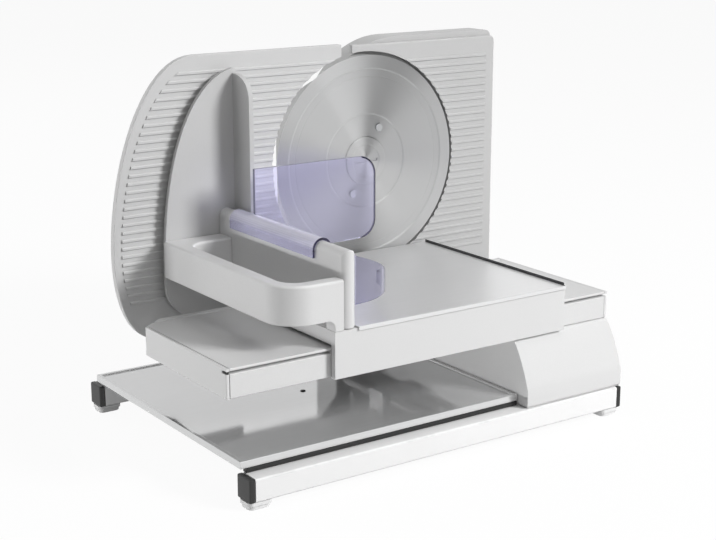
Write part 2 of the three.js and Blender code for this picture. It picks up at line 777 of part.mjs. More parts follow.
// Pusher: a saddle over the fence with an upright plate and a curved thumb guard
function makePusher() {
  const saddleY0 = fenceFront + saddleFront;
  const saddleY1 = saddleY0 + saddleLength;
  const arch = (radius) => {
    const shape = new THREE.Shape();
    shape.moveTo(fenceMiddle - radius, fenceCrown - saddleLeg);
    shape.lineTo(fenceMiddle + radius, fenceCrown - saddleLeg);
    shape.lineTo(fenceMiddle + radius, fenceCrown);
    shape.absarc(fenceMiddle, fenceCrown, radius, 0, Math.PI);
    return shape;
  };
  const room = slabY(arch(saddleInner), saddleY0 - 1, saddleY1 + 1);
  const below = block(fenceMiddle - saddleInner, fenceMiddle + saddleInner, saddleY0 - 1, saddleY1 + 1,
    tableTop, fenceCrown - saddleLeg + 1);
  const saddle = slabY(arch(saddleOuter), saddleY0, saddleY1);
  const plateY0 = saddleY0 + pusherPlateAt;
  const plateX1 = fenceMiddle + saddleOuter + pusherReach;
  const plateTopZ = fenceCrown + saddleOuter + pusherRise;
  const plateLow = fenceCrown + saddleOuter - pusherHang;
  const outline = new THREE.Shape();
  outline.moveTo(fenceMiddle + saddleOuter - saddleWall / 2, plateLow);
  outline.lineTo(plateX1 - pusherCorner, plateLow);
  outline.absarc(plateX1 - pusherCorner, plateLow + pusherCorner, pusherCorner, -Math.PI / 2, 0);
  outline.lineTo(plateX1, plateTopZ - pusherCorner);
  outline.absarc(plateX1 - pusherCorner, plateTopZ - pusherCorner, pusherCorner, 0, Math.PI / 2);
  outline.lineTo(fenceMiddle, plateTopZ);
  outline.lineTo(fenceMiddle, fenceCrown + saddleInner + saddleWall / 2);
  const plate = slabY(outline, plateY0, plateY0 + pusherPlate, 8);
  const moulding = join(saddle, plate, makeGuard(saddleY0));
  return piece('end_piece_pusher', cut(moulding, room, below), tintedClear());
}

function makeGuard(saddleY0) {
  const x0 = fenceMiddle + saddleOuter - saddleWall / 2;
  const middle = saddleY0 + guardBack;
  const inner = guardRadius - guardWall;
  const end = -Math.PI / 12;
  const low = fenceCrown - guardHeight;
  const band = new THREE.Shape();
  band.absarc(x0, middle, guardRadius, -Math.PI / 2, end);
  band.absarc(x0, middle, inner, end, -Math.PI / 2, true);
  const fall = new THREE.Shape();
  fall.moveTo(x0 - 1, low - 1);
  fall.lineTo(x0 + guardRadius, low - 1);
  fall.lineTo(x0 + guardRadius, low + guardTip);
  fall.quadraticCurveTo(x0 + guardRadius * 0.68, fenceCrown - guardTip * 2, x0 - 1, fenceCrown);
  const shell = slabZ(band, low, fenceCrown).intersect(slabY(fall, middle - guardRadius - 1, middle + 1));
  const web = block(x0, x0 + guardWall, middle - guardRadius, saddleY0 + guardWall, low, fenceCrown);
  return join(shell, web);
}

function makeCarriage() {
  const carriage = new THREE.Group();
  carriage.add(makeCarriageFrame(), makeTable(), makeFence(), makeShield(), makeHandle(), ...makeShoes());
  carriage.add(makePusher());
  return carriage;
}

// Stop plate: a ribbed plate left of the blade, hollowed round the blade's edge
function stopOutline(inset) {
  const left = bladeX - stopReach + inset;
  const top = stopTop - inset;
  const low = stopBottom + inset;
  const nose = bladeX + stopNose;
  const foot = bladeX + stopFoot;
  const height = stopTop - stopBottom;
  const waist = stopBottom + height * 0.319;
  const heel = left + height * 0.16;
  const shape = new THREE.Shape();
  shape.moveTo(heel, low);
  shape.lineTo(heel + stopHeel, low);
  shape.lineTo(heel + stopHeel + stopStep * 0.72, low + stopStep);
  shape.lineTo(foot, low + stopStep);
  shape.lineTo(foot, bladeZ);
  shape.lineTo(nose, bladeZ);
  shape.lineTo(nose, top);
  shape.lineTo(left + height * 0.336, top);
  shape.bezierCurveTo(left + height * 0.125, top, left, stopBottom + height * 0.597, left, waist);
  shape.bezierCurveTo(left, stopBottom + height * 0.13, left + height * 0.06, low, heel, low);
  return shape;
}

function makeStopGauge() {
  const body = slabY(stopOutline(0), stopFace + ribProud, stopRear, 24);
  const ribField = ribs(stopOutline(ribMargin), bladeX - stopReach, bladeX, stopBottom + ribStart,
    stopTop - ribInset, stopFace, stopFace + ribProud * 2);
  const hollow = rodY(openRadius, stopFace - 1, stopRear + 1, bladeX, bladeZ, 96);
  const gauge = new THREE.Group();
  gauge.add(piece('stop_plate', cut(join(body, ribField), hollow), silverPlastic()));
  gauge.add(piece('stop_bracket', makeBracket(), brushedSteel()));
  [['left', rodMiddle - rodSpacing / 2], ['right', rodMiddle + rodSpacing / 2]].forEach(([end, x]) => {
    gauge.add(piece(`stop_rod_${end}`, rodY(rodRadius, bracketFront - seatGap - rodLength,
      bracketFront - seatGap, x, rodZ, 16), shaftSteel()));
  });
  return gauge;
}

function makeBracket() {
  const padRight = bladeX + stopFoot - seatGap;
  const padLeft = padRight - bracketWidth;
  const padLow = stopBottom + stopStep + bracketThickness;
  const padTop = stopBottom + bracketRise;
  const legLeft = rodMiddle - rodSpacing / 2 - 2 * rodRadius;
  const legRight = notchRight - runGap;
  const legTop = notchTop - 2 * bracketThickness;
  const shelfRight = pedestalLeft - 4 * runGap;
  const shelfTop = towerBottom - 2 * runGap;
  const armLow = camZ - armHeight / 2;
  const armHigh = camZ + armHeight / 2;
  const sheet = slabY(polygon([
    [padLeft, padLow], [legLeft - armHeight, padLow], [legLeft, padLow - armHeight], [legLeft, armLow],
    [camRight, armLow], [camRight, armHigh], [shelfRight, armHigh], [shelfRight, shelfTop],
    [legRight, shelfTop], [legRight, legTop], [padRight, legTop], [padRight, padTop], [padLeft, padTop],
  ]), bracketFront, bracketRear);
  const noseY = camY + camSmallRadius + camNose + seatGap + sliceThickness;
  const finger = block(camLeft, camRight, noseY, bracketFront + 1, camZ - camNose, camZ + camNose);
  return join(sheet, finger, rodX(camNose, camLeft, camRight, noseY, camZ, 8));
}

function makeRodGuides() {
  const length = rodGuideLength;
  return [['left', rodMiddle - rodSpacing / 2], ['right', rodMiddle + rodSpacing / 2]].map(([end, x]) => {
    const y0 = beamRear - length;
    const body = block(x - rodGuideWidth / 2, x + rodGuideWidth / 2, y0, y0 + length,
      rodZ - rodGuideWidth / 2, beamBottom - seatGap);
    const bore = rodY(rodRadius + seatGap, y0 - 1, y0 + length + 1, x, rodZ, 16);
    return piece(`rod_guide_${end}`, cut(body, bore), gearNylon());
  });
}

// Thickness cam: a rising spiral edge that meets the bracket's nose, turned by the dial
function camOutline() {
  const steps = 48;
  const turn = THREE.MathUtils.degToRad(camTurn);
  const spare = (Math.PI * 2 - turn) / 3;
  const offset = camNose + seatGap;
  const restTurn = sliceThickness / camLead;
  const points = [];
  for (let k = 0; k <= steps; k += 1) {
    const angle = -spare + ((turn + 2 * spare) * k) / steps;
    const reach = camSmallRadius + offset + camLead * angle;
    const tilt = Math.atan2(camLead, reach);
    const face = restTurn - angle;
    const y = reach * Math.cos(face) - offset * Math.cos(face + tilt);
    const z = reach * Math.sin(face) - offset * Math.sin(face + tilt);
    points.push([y, z]);
  }
  return polygon(points);
}

function makeDial() {
  const flutes = [];
  for (let k = 0; k < dialFlutes; k += 1) {
    const angle = (k * Math.PI * 2) / dialFlutes;
    flutes.push(rodX(2, 3, dialThickness + 1, (dialRadius + 1) * Math.cos(angle),
      (dialRadius + 1) * Math.sin(angle), 8));
  }
  const knob = cut(
    join(rodX(dialRadius, 0, dialThickness, 0, 0, 36), rodX(2, dialThickness - 1, dialThickness + 1,
      0, dialRadius * 0.7, 8)),
    ...flutes,
    rodX(dialShaftRadius + seatGap, -1, dialThickness / 2, 0, 0, 16),
  );
  const dial = piece('thickness_dial', knob, darkPlastic());
  dial.position.x = baseRight + runGap;
  const shaft = rodX(dialShaftRadius, camLeft - 2 * runGap, baseRight + dialThickness / 2, 0, 0, 16);
  const cam = piece('thickness_cam', join(slabX(camOutline(), camLeft, camRight), shaft), gearNylon());
  return group(0, camY, camZ, dial, cam);
}

// Fixed plate: the ribbed plate right of the blade
function fixedOutline(inset) {
  const low = towerBottom + inset;
  const top = plateCeiling - inset;
  const right = fixedRight - inset;
  const corner = towerCorner - 1;
  const shape = new THREE.Shape();
  shape.moveTo(bladeX + fixedPlateLeft, low);
  shape.lineTo(right, low);
  shape.lineTo(right, top - corner);
  shape.absarc(right - corner, top - corner, corner, 0, Math.PI / 2);
  shape.lineTo(bladeX + fixedPlateLeft, top);
  return shape;
}

function makeFixedPlate() {
  const open = rodY(openRadius, bladeY - 2, towerFront, bladeX, bladeZ, 96);
  const body = slabY(fixedOutline(0), plateFront, plateRear);
  const field = ribs(fixedOutline(fixedMargin), bladeX, fixedRight, tableTop - ribInset,
    plateCeiling - ribInset, bladeY, plateFront + ribProud);
  return piece('fixed_plate', cut(join(body, field), open), silverPlastic());
}

// Gear case and motor cover: two shells that close on each other behind the fixed plate
function shellOutline(inset, ceiling, roundLeft) {
  const [left, right] = [towerLeft + inset, fixedRight - inset];
  const [low, top] = [towerBottom + inset, ceiling - inset];
  const round = roundLeft - inset;
  const corner = Math.max(towerCorner - inset, 1);
  const shape = new THREE.Shape();
  shape.moveTo(notchRight + inset, low);
  shape.lineTo(right, low);
  shape.lineTo(right, top - corner);
  shape.absarc(right - corner, top - corner, corner, 0, Math.PI / 2);
  shape.lineTo(left + round, top);
  shape.absarc(left + round, top - round, round, Math.PI / 2, Math.PI);
  shape.lineTo(left, notchTop + inset);
  shape.lineTo(notchRight + inset, notchTop + inset);
  return shape;
}

const towerOutline = (inset) => shellOutline(inset, towerTop, towerRound);
const coverOutline = (inset) => shellOutline(inset, coverTop, motorCoverRound);

const radians = THREE.MathUtils.degToRad;
const idlerDistance = ((bladeTeeth + idlerSmallTeeth) * bladeModule) / 2;
const motorDistance = ((idlerLargeTeeth + pinionTeeth) * motorModule) / 2;
const idlerX = bladeX + idlerDistance * Math.cos(radians(idlerAngle));
const idlerZ = bladeZ + idlerDistance * Math.sin(radians(idlerAngle));
const motorX = idlerX + motorDistance * Math.cos(radians(motorAngle));
const motorZ = idlerZ + motorDistance * Math.sin(radians(motorAngle));
const wallRear = towerFront + towerWall;
const bladeGearFront = towerFront + bushLength + 2 * runGap;
const bladeGearRear = bladeGearFront + bladeGearWidth;
const motorGearFront = bladeGearRear + 2 * runGap;
const motorGearRear = motorGearFront + motorGearWidth;
const motorPlateFront = coverFront + seatGap;
const motorPlateRear = motorPlateFront + motorPlateThickness;
const postSpread = motorRadius + 2 * postRadius;
const posts = [[motorX - postSpread, motorZ], [motorX + postSpread, motorZ], [motorX, motorZ - postSpread]];
const shaftEnd = gearCaseRear - 2 * runGap;

function coverScrewPlaces() {
  return [
    [towerLeft + coverScrewInset, notchTop + coverScrewInset],
    [fixedRight - coverScrewInset, towerBottom + coverScrewInset],
    [fixedRight - coverScrewInset, coverTop - coverScrewInset],
    [towerLeft + motorCoverRound, coverTop - coverScrewInset],
  ];
}

function makeGearCase() {
  const shell = cut(
    slabY(towerOutline(0), towerFront, gearCaseRear, 8),
    slabY(towerOutline(towerWall), wallRear, gearCaseRear - towerWall, 8),
    slabY(coverOutline(towerWall), wallRear, gearCaseRear + 1, 8),
  );
  const columns = posts.map(([x, z]) => rodY(postRadius, wallRear - 1, motorPlateFront - seatGap, x, z, 12));
  const bosses = coverScrewPlaces().map(([x, z]) => rodY(postRadius, wallRear - 1, gearCaseRear, x, z, 12));
  const pilot = coverScrewPlaces().map(([x, z]) => rodY(screwShankRadius + seatGap,
    gearCaseRear - screwLength, gearCaseRear + 1, x, z, 12));
  return piece('gear_case', cut(
    join(shell, ...columns, ...bosses), ...pilot,
    rodY(hubShaftRadius + bearingGap + bushWall + seatGap, towerFront - 1, wallRear + 1, bladeX, bladeZ, 32),
    rodY(idlerAxleRadius + seatGap, towerFront - 1, wallRear + 1, idlerX, idlerZ, 16),
  ), silverPlastic());
}

function makeMotorCover() {
  const shell = cut(
    slabY(coverOutline(0), coverFront, coverRear, 8),
    slabY(coverOutline(towerWall), coverFront - 1, coverRear - towerWall, 8),
  );
  const recess = coverScrewPlaces().map(([x, z]) => join(
    rodY(screwShankRadius + seatGap, coverFront - 1, coverFront + towerWall + 1, x, z, 12),
    rodY(screwHeadRadius + seatGap, coverFront + towerWall, coverRear + 1, x, z, 12),
  ));
  const vents = [];
  for (let k = 0; k < ventCount; k += 1) {
    const x = motorX + (k - (ventCount - 1) / 2) * ventPitch;
    vents.push(slabY(roundedBox(x - ventWidth / 2, x + ventWidth / 2, motorZ - ventLength / 2,
      motorZ + ventLength / 2, ventWidth / 2 - 0.1), coverRear - towerWall - 1, coverRear + 1, 1));
  }
  const collars = coverScrewPlaces().map(([x, z]) => rodY(screwHeadRadius + 2, coverFront,
    coverRear - 1, x, z, 12));
  return piece('motor_cover', cut(join(shell, ...collars), ...recess, ...vents), silverPlastic());
}

function makeCoverScrews() {
  return coverScrewPlaces().map(([x, z], k) => {
    const screw = piece(`cover_screw_${k + 1}`, screwY(), shaftSteel());
    screw.rotation.z = Math.PI;
    return group(x, coverFront + towerWall + seatGap, z, screw);
  });
}

// Blade with its hub, gear, screws and front bush, all modelled about the blade axis
function makeBlade() {
  const back = bladeSheet + 1.8;
  const bevelFoot = bladeRadius - bladeBevel;
  const holeRadius = hubBossRadius + seatGap;
  const sheet = turnedY([
    [holeRadius, 1.8], [hubFlangeRadius - 1, 1.8], [hubFlangeRadius + 1, 1], [bevelFoot - 2, -0.7],
    [bevelFoot, -0.9], [bladeRadius, 0], [bevelFoot, bladeSheet - 0.7], [hubFlangeRadius + 3, back - 0.7],
    [hubFlangeRadius + 1, back], [holeRadius, back], [holeRadius, 1.8],
  ], 72);
  const places = [0, 1].map((k) => radians(bladeScrewAngle + 180 * k)).map(
    (angle) => [bladeScrewCircle * Math.cos(angle), bladeScrewCircle * Math.sin(angle)]);
  const flangeFront = back + seatGap;
  const flangeRear = towerFront - bladeY - 2 * runGap;
  const holes = places.map(([x, z]) => rodY(bladeScrewRadius + seatGap, -2, flangeRear + 1, x, z, 12));
  const hub = turnedY([
    [0, 0.6], [hubBossRadius - 1, 0.6], [hubBossRadius, 1.4], [hubBossRadius, flangeFront],
    [hubFlangeRadius, flangeFront], [hubFlangeRadius, flangeRear], [hubShaftRadius, flangeRear],
    [hubShaftRadius, shaftEnd - bladeY], [0, shaftEnd - bladeY],
  ], 36);
  const slot = block(-hubBossRadius * 0.6, hubBossRadius * 0.6, 0, 1.6, -1.2, 1.2);
  const gear = cut(
    slabY(gearOutline(bladeTeeth, bladeModule, radians(idlerAngle)), bladeGearFront - bladeY,
      bladeGearRear - bladeY),
    rodY(hubShaftRadius + seatGap, 0, shaftEnd - bladeY, 0, 0, 32),
  );
  const blade = group(bladeX, bladeY, bladeZ,
    piece('slicing_blade', cut(sheet, ...holes), brushedSteel()),
    piece('blade_hub', cut(hub, slot, ...holes), brushedSteel()),
    piece('blade_gear', gear, gearNylon()));
  places.forEach(([x, z], k) => {
    const screw = join(rodY(bladeScrewHead, 0.2, 1.8 - seatGap, x, z, 16),
      rodY(bladeScrewRadius, 1, flangeRear - 2 * seatGap, x, z, 12));
    blade.add(piece(`blade_screw_${k + 1}`, screw, shaftSteel()));
  });
  return blade;
}

function makeBush() {
  const inner = hubShaftRadius + bearingGap;
  const outer = inner + bushWall;
  const ring = turnedY([[inner, 0], [outer, 0], [outer, bushLength], [inner, bushLength], [inner, 0]], 36);
  return group(bladeX, towerFront, bladeZ, piece('blade_bush', ring, bearingBronze()));
}

// Idler: a small gear behind the blade gear and a large gear driven by the motor pinion
function makeIdler() {
  const smallPhase = radians(idlerAngle) + Math.PI + Math.PI / idlerSmallTeeth;
  const gears = join(
    slabY(gearOutline(idlerSmallTeeth, bladeModule, smallPhase), bladeGearFront - runGap,
      motorGearFront + gearOverlap),
    slabY(gearOutline(idlerLargeTeeth, motorModule, radians(motorAngle)), motorGearFront, motorGearRear),
  );
  const bore = rodY(idlerAxleRadius + bearingGap, bladeGearFront - overrun, motorGearRear + overrun,
    0, 0, 24);
  const axle = rodY(idlerAxleRadius, towerFront + runGap, motorPlateRear, 0, 0, 24);
  const collar = rodY(idlerAxleRadius * 2, wallRear + seatGap, bladeGearFront - 2 * runGap, 0, 0, 16);
  return group(idlerX, 0, idlerZ,
    piece('idler_gear', cut(gears, bore), gearNylon()),
    piece('idler_axle', join(axle, collar), shaftSteel()));
}

// Motor: a mounting plate on posts, a can open at the front, and a rotor with its pinion
function makeMotor() {
  const margin = 2 * postRadius;
  const [left, right] = [motorX - postSpread - margin / 2, motorX + postSpread + margin / 2];
  const plate = cut(
    slabY(roundedBox(left, right, motorZ - postSpread - margin / 2, idlerZ + margin, postRadius),
      motorPlateFront, motorPlateRear, 4),
    rodY(rotorShaftRadius + shaftRoom, motorPlateFront - overrun, motorPlateRear + overrun,
      motorX, motorZ, 16),
    rodY(idlerAxleRadius + seatGap, motorPlateFront - overrun, motorPlateRear + overrun, idlerX, idlerZ, 16),
  );
  const canFront = motorPlateRear + seatGap;
  const canRear = canFront + motorLength;
  const can = turnedY([
    [motorRadius - motorWall, canFront], [motorRadius, canFront], [motorRadius, canRear - 2],
    [motorRadius - 2, canRear], [rotorShaftRadius + bearingGap, canRear],
    [rotorShaftRadius + bearingGap, canRear - 3 * motorWall],
    [motorRadius - motorWall, canRear - 3 * motorWall], [motorRadius - motorWall, canFront],
  ], 32);
  const rotorFront = canFront + 2 * motorWall;
  const rotor = turnedY([
    [0, motorGearFront], [rotorShaftRadius, motorGearFront], [rotorShaftRadius, rotorFront],
    [rotorRadius, rotorFront], [rotorRadius, canRear - 5 * motorWall],
    [rotorShaftRadius, canRear - 5 * motorWall], [rotorShaftRadius, canRear - motorWall],
    [0, canRear - motorWall],
  ], 24);
  const phase = radians(motorAngle) + Math.PI + Math.PI / pinionTeeth;
  const pinion = cut(
    slabY(gearOutline(pinionTeeth, motorModule, phase), motorGearFront, motorGearRear + runGap),
    rodY(rotorShaftRadius + seatGap, motorGearFront - 1, motorGearRear + 2, 0, 0, 24),
  );
  const turning = group(motorX, 0, motorZ,
    piece('motor_can', can, shaftSteel()),
    piece('motor_rotor', rotor, shaftSteel()),
    piece('motor_pinion', pinion, shaftSteel()));
  return [piece('motor_plate', plate, brushedSteel()), turning];
}

// Controls on the right end of the pedestal, and the power inlet at its rear
function makeControls() {
  const buttonZ = railTop + buttonHeight;
  const startY = baseFront + startButtonSetback;
  const inside = baseRight - pedestalWall;
  const button = (radius) => join(
    rodX(radius, inside - 2 * runGap, baseRight + buttonProud, 0, 0, 24),
    rodX(radius + 2, inside - 5 * runGap, inside - runGap, 0, 0, 24),
  );
  const shift = buttonTravel + 5 * runGap + seatGap;
  const switchBody = block(inside - shift - switchSize, inside - shift,
    startY - switchSize / 2, startY + buttonSpacing + switchSize / 2,
    railTop + seatGap, buttonZ + switchSize / 2);
  const gland = cut(
    join(
      rodY(glandRadius, pedestalRear + seatGap, pedestalRear + glandProud, 0, 0, 20),
      rodY(glandRadius - 2 - seatGap, pedestalRear - pedestalWall - 2, pedestalRear + 1, 0, 0, 20),
    ),
    rodY(glandBore, pedestalRear - pedestalWall - 3, pedestalRear + glandProud + 1, 0, 0, 16),
  );
  return [
    group(0, startY, buttonZ, piece('start_button', button(startButtonRadius), palePlastic())),
    group(0, startY + buttonSpacing, buttonZ, piece('lock_button', button(lockButtonRadius), darkPlastic())),
    piece('switch_body', switchBody, blackPlastic()),
    group(baseRight - glandInset, 0, railTop + glandHeight, piece('cord_gland', gland, blackPlastic())),
  ];
}

// The whole machine, moved so that the origin lies under its centre
const machine = new THREE.Group();
machine.add(makeBase(), makeTray(), makePedestal(), makeBeam(), makeCarriage());
machine.add(makeStopGauge(), ...makeRodGuides(), makeDial(), makeFixedPlate());
machine.add(makeGearCase(), makeMotorCover(), ...makeCoverScrews());
machine.add(makeBlade(), makeBush(), makeIdler(), ...makeMotor(), ...makeControls());

const extent = new THREE.Box3().setFromObject(machine);
const centre = extent.getCenter(new THREE.Vector3());
machine.position.set(-centre.x, -centre.y, -extent.min.z);

const slicer = new THREE.Group();
slicer.add(machine);
slicer.updateMatrixWorld(true);

export default slicer;
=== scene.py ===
"""Looks of the electric food slicer: its finishes, softened mouldings, small details and a pale studio."""

import json
import logging
import math
from dataclasses import dataclass, field
from enum import Enum
from typing import Any, Callable, ClassVar, Mapping, Sequence

import bmesh
import bpy
from mathutils import Matrix, Vector

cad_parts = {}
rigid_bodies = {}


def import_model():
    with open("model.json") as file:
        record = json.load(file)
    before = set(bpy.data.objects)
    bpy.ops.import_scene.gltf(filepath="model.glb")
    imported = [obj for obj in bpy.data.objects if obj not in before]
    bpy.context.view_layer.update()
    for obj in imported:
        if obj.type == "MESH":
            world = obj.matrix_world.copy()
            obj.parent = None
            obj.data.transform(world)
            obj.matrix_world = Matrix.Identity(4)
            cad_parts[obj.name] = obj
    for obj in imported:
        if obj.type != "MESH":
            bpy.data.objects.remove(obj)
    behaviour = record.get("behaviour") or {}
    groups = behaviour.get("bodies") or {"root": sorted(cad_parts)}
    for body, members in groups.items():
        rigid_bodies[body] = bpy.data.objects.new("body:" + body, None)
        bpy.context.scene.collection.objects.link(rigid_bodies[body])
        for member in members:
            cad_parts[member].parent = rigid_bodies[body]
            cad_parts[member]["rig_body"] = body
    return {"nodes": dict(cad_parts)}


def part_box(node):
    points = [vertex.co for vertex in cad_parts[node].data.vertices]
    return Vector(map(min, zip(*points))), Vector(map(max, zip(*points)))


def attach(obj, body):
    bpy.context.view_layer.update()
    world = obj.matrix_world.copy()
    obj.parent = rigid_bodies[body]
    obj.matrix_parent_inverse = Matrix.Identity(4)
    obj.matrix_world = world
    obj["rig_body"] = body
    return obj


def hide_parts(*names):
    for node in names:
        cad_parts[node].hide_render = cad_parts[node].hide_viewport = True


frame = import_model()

logging.basicConfig(level=logging.INFO, format="%(name)s: %(message)s")
LOG = logging.getLogger("slicer")
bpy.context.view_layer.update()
EDGE_MARK = "edge"
FROST_AND_HIGHLIGHT_MARK = "frost_and_highlight"

# Lengths in metres and angles in radians that several pieces share
PEDESTAL_FACE = 0.16925
SUNK = 0.0001
BLADE_CLEARANCE = 0.105
PLATE_WALL = 0.005
WELD = 2e-6
SLIVER = 4e-6
SHARP = math.radians(30.0)
FLAT = math.radians(0.3)

Color = tuple[float, float, float, float]
EdgeTest = Callable[[bmesh.types.BMEdge], bool]
FaceTest = Callable[[bmesh.types.BMFace], float]


class Axis(Enum):
    """The three directions of the row frame."""

    X = 0
    Y = 1
    Z = 2


def grey(level: float) -> Color:
    """A neutral colour of one linear level."""
    return (level, level, level, 1.0)


def scaled(color: Color, factor: float) -> Color:
    """A colour made lighter or darker by a factor."""
    return (color[0] * factor, color[1] * factor, color[2] * factor, 1.0)


# Shader expressions


class Sock:
    """A node's output that takes part in plain Python expressions."""

    def __init__(self, shader: "Shader", socket: bpy.types.NodeSocket | None) -> None:
        """Keeps the socket and the shader that owns it."""
        self.shader = shader
        self.socket = socket

    def _math(self, operation: str, first: "Sock | float", second: "Sock | float") -> "Sock":
        """Adds one Math node.

        Args:
            operation: the Math node's operation.
            first: its first value.
            second: its second value.

        Returns:
            The result's socket.
        """
        return self.shader.node("ShaderNodeMath", {"operation": operation}, {0: first, 1: second})

    def __add__(self, other: "Sock | float") -> "Sock":
        """Adds a value."""
        return self._math("ADD", self, other)

    def __radd__(self, other: float) -> "Sock":
        """Adds to a plain number."""
        return self._math("ADD", other, self)

    def __sub__(self, other: "Sock | float") -> "Sock":
        """Takes a value away."""
        return self._math("SUBTRACT", self, other)

    def __rsub__(self, other: float) -> "Sock":
        """Takes this value from a plain number."""
        return self._math("SUBTRACT", other, self)

    def __mul__(self, other: "Sock | float") -> "Sock":
        """Multiplies by a value."""
        return self._math("MULTIPLY", self, other)

    def __rmul__(self, other: float) -> "Sock":
        """Multiplies a plain number."""
        return self._math("MULTIPLY", other, self)

    def top(self, other: "Sock | float") -> "Sock":
        """The larger of two values."""
        return self._math("MAXIMUM", self, other)


class Shader:
    """One node tree and the ways to add to it."""

    def __init__(self, tree: bpy.types.NodeTree) -> None:
        """Starts from an empty tree."""
        self.tree = tree
        self.tree.nodes.clear()

    def node(self, kind: str, settings: Mapping[str, Any] | None = None,
             sockets: Mapping[Any, Any] | None = None, output: str | int = 0) -> Sock:
        """Adds a node of any type.

        Args:
            kind: the node's type name.
            settings: attributes to set first.
            sockets: values or links for its inputs, by name or number.
            output: the output to hand back.

        Returns:
            The chosen output.
        """
        made = self.tree.nodes.new(kind)
        for key, value in (settings or {}).items():
            setattr(made, key, value)
        for key, value in (sockets or {}).items():
            if isinstance(value, Sock):
                self.tree.links.new(value.socket, made.inputs[key])
            else:
                made.inputs[key].default_value = value
        return Sock(self, made.outputs[output]) if len(made.outputs) else Sock(self, None)

    def place(self) -> Sock:
        """The point on the piece, in metres of its own space."""
        return self.node("ShaderNodeTexCoord", output="Object")

    def stretched(self, vector: Sock, scale: Sequence[float]) -> Sock:
        """A vector with each part scaled by its own factor."""
        return self.node("ShaderNodeVectorMath", {"operation": "MULTIPLY"}, {0: vector, 1: tuple(scale)})

    def noise(self, vector: Sock, scale: float, detail: float = 2.0, roughness: float = 0.5) -> Sock:
        """Soft noise from 0 to 1, with so many lumps to the metre."""
        return self.node("ShaderNodeTexNoise", None,
                         {"Vector": vector, "Scale": scale, "Detail": detail, "Roughness": roughness})

    def ranged(self, value: Sock, low: float, high: float, start: float = 0.0, end: float = 1.0) -> Sock:
        """A smooth step of a value.

        Args:
            value: the value to map.
            low: where the step begins.
            high: where it ends.
            start: the result below low.
            end: the result above high.

        Returns:
            The mapped value.
        """
        return self.node("ShaderNodeMapRange", {"interpolation_type": "SMOOTHSTEP"},
                         {0: value, 1: low, 2: high, 3: start, 4: end})

    def mix(self, factor: Sock | float, first: Sock | Color, second: Sock | Color) -> Sock:
        """A colour between two colours."""
        return self.node("ShaderNodeMix", {"data_type": "RGBA"}, {0: factor, 6: first, 7: second}, 2)

    def mark(self, name: str = EDGE_MARK) -> Sock:
        """A value that the mesh carries, such as its rounded edges."""
        return self.node("ShaderNodeAttribute", {"attribute_name": name}, None, "Fac")

    def bump(self, height: Sock, strength: float, distance: float) -> Sock:
        """A normal tilted by a height in metres."""
        return self.node("ShaderNodeBump", None,
                         {"Strength": strength, "Distance": distance, "Height": height})

    def surface(self, sockets: Mapping[str, Any]) -> None:
        """Closes the tree with a Principled surface.

        Args:
            sockets: values and links of the Principled shader.
        """
        self.close(self.node("ShaderNodeBsdfPrincipled", None, sockets))

    def close(self, shade: Sock) -> None:
        """Closes the tree with a ready shader."""
        self.node("ShaderNodeOutputMaterial", None, {"Surface": shade})


def fresh(name: str) -> tuple[bpy.types.Material, Shader]:
    """Starts a new material.

    Args:
        name: the material's name.

    Returns:
        The material and its empty tree.
    """
    material = bpy.data.materials.new(name)
    material.use_nodes = True
    return material, Shader(material.node_tree)


# Finishes


@dataclass(frozen=True)
class Finish:
    """What every finish shares: the record's slot that it stands for, and a name where a slot has two."""

    slot: str
    name: str = field(default="", kw_only=True)
    made: ClassVar[dict[str, bpy.types.Material]] = {}

    def paint(self, shader: Shader) -> None:
        """Adds the finish's nodes to an empty tree."""
        raise NotImplementedError

    def material(self) -> bpy.types.Material:
        """Makes the finish's material on its first use.

        Returns:
            The material.
        """
        key = self.name or self.slot
        if key not in self.made:
            self.made[key], shader = fresh("finish_" + key)
            self.paint(shader)
        return self.made[key]

    def dress(self, piece: bpy.types.Object) -> None:
        """Puts the finish on a new piece.

        Args:
            piece: the piece to dress.
        """
        piece.data.materials.clear()
        piece.data.materials.append(self.material())


@dataclass(frozen=True)
class MouldedPlastic(Finish):
    """Moulded plastic with an eroded grain, faint flow mottling and polished edges."""

    color: Color = grey(0.6)
    roughness: float = 0.42
    clouds: float = 11.0
    flecks: float = 900.0
    pores: float = 1500.0
    touches: float = 34.0
    grain: float = 0.12
    fleck: float = 0.05
    mottling: float = 0.04
    wear: float = 0.08
    metallic: float = 0.0

    def paint(self, shader: Shader) -> None:
        """Adds the grain, the mottling and the rubbed edges.

        Args:
            shader: the empty tree.
        """
        place = shader.place()
        cloud = shader.noise(place, self.clouds, 4.0)
        fleck = shader.noise(place, self.flecks, 1.0)
        grain = shader.noise(place, self.pores, 2.0)
        touch = shader.noise(place, self.touches, 5.0, 0.6)
        rubbed = shader.mark() * shader.ranged(touch, 0.38, 0.62)
        tint = (cloud - 0.5) * self.mottling + (fleck - 0.5) * self.fleck + 0.5
        base = shader.mix(tint, scaled(self.color, 0.55), scaled(self.color, 1.45))
        worn = shader.mix(rubbed * self.wear, base, grey(min(1.0, self.color[0] * 1.9 + 0.03)))
        rough = (touch - 0.5) * 0.16 + self.roughness - rubbed * 0.08
        shader.surface({"Base Color": worn, "Roughness": rough, "Metallic": self.metallic,
                        "Specular IOR Level": 0.5,
                        "Normal": shader.bump(grain, self.grain, 0.0002)})


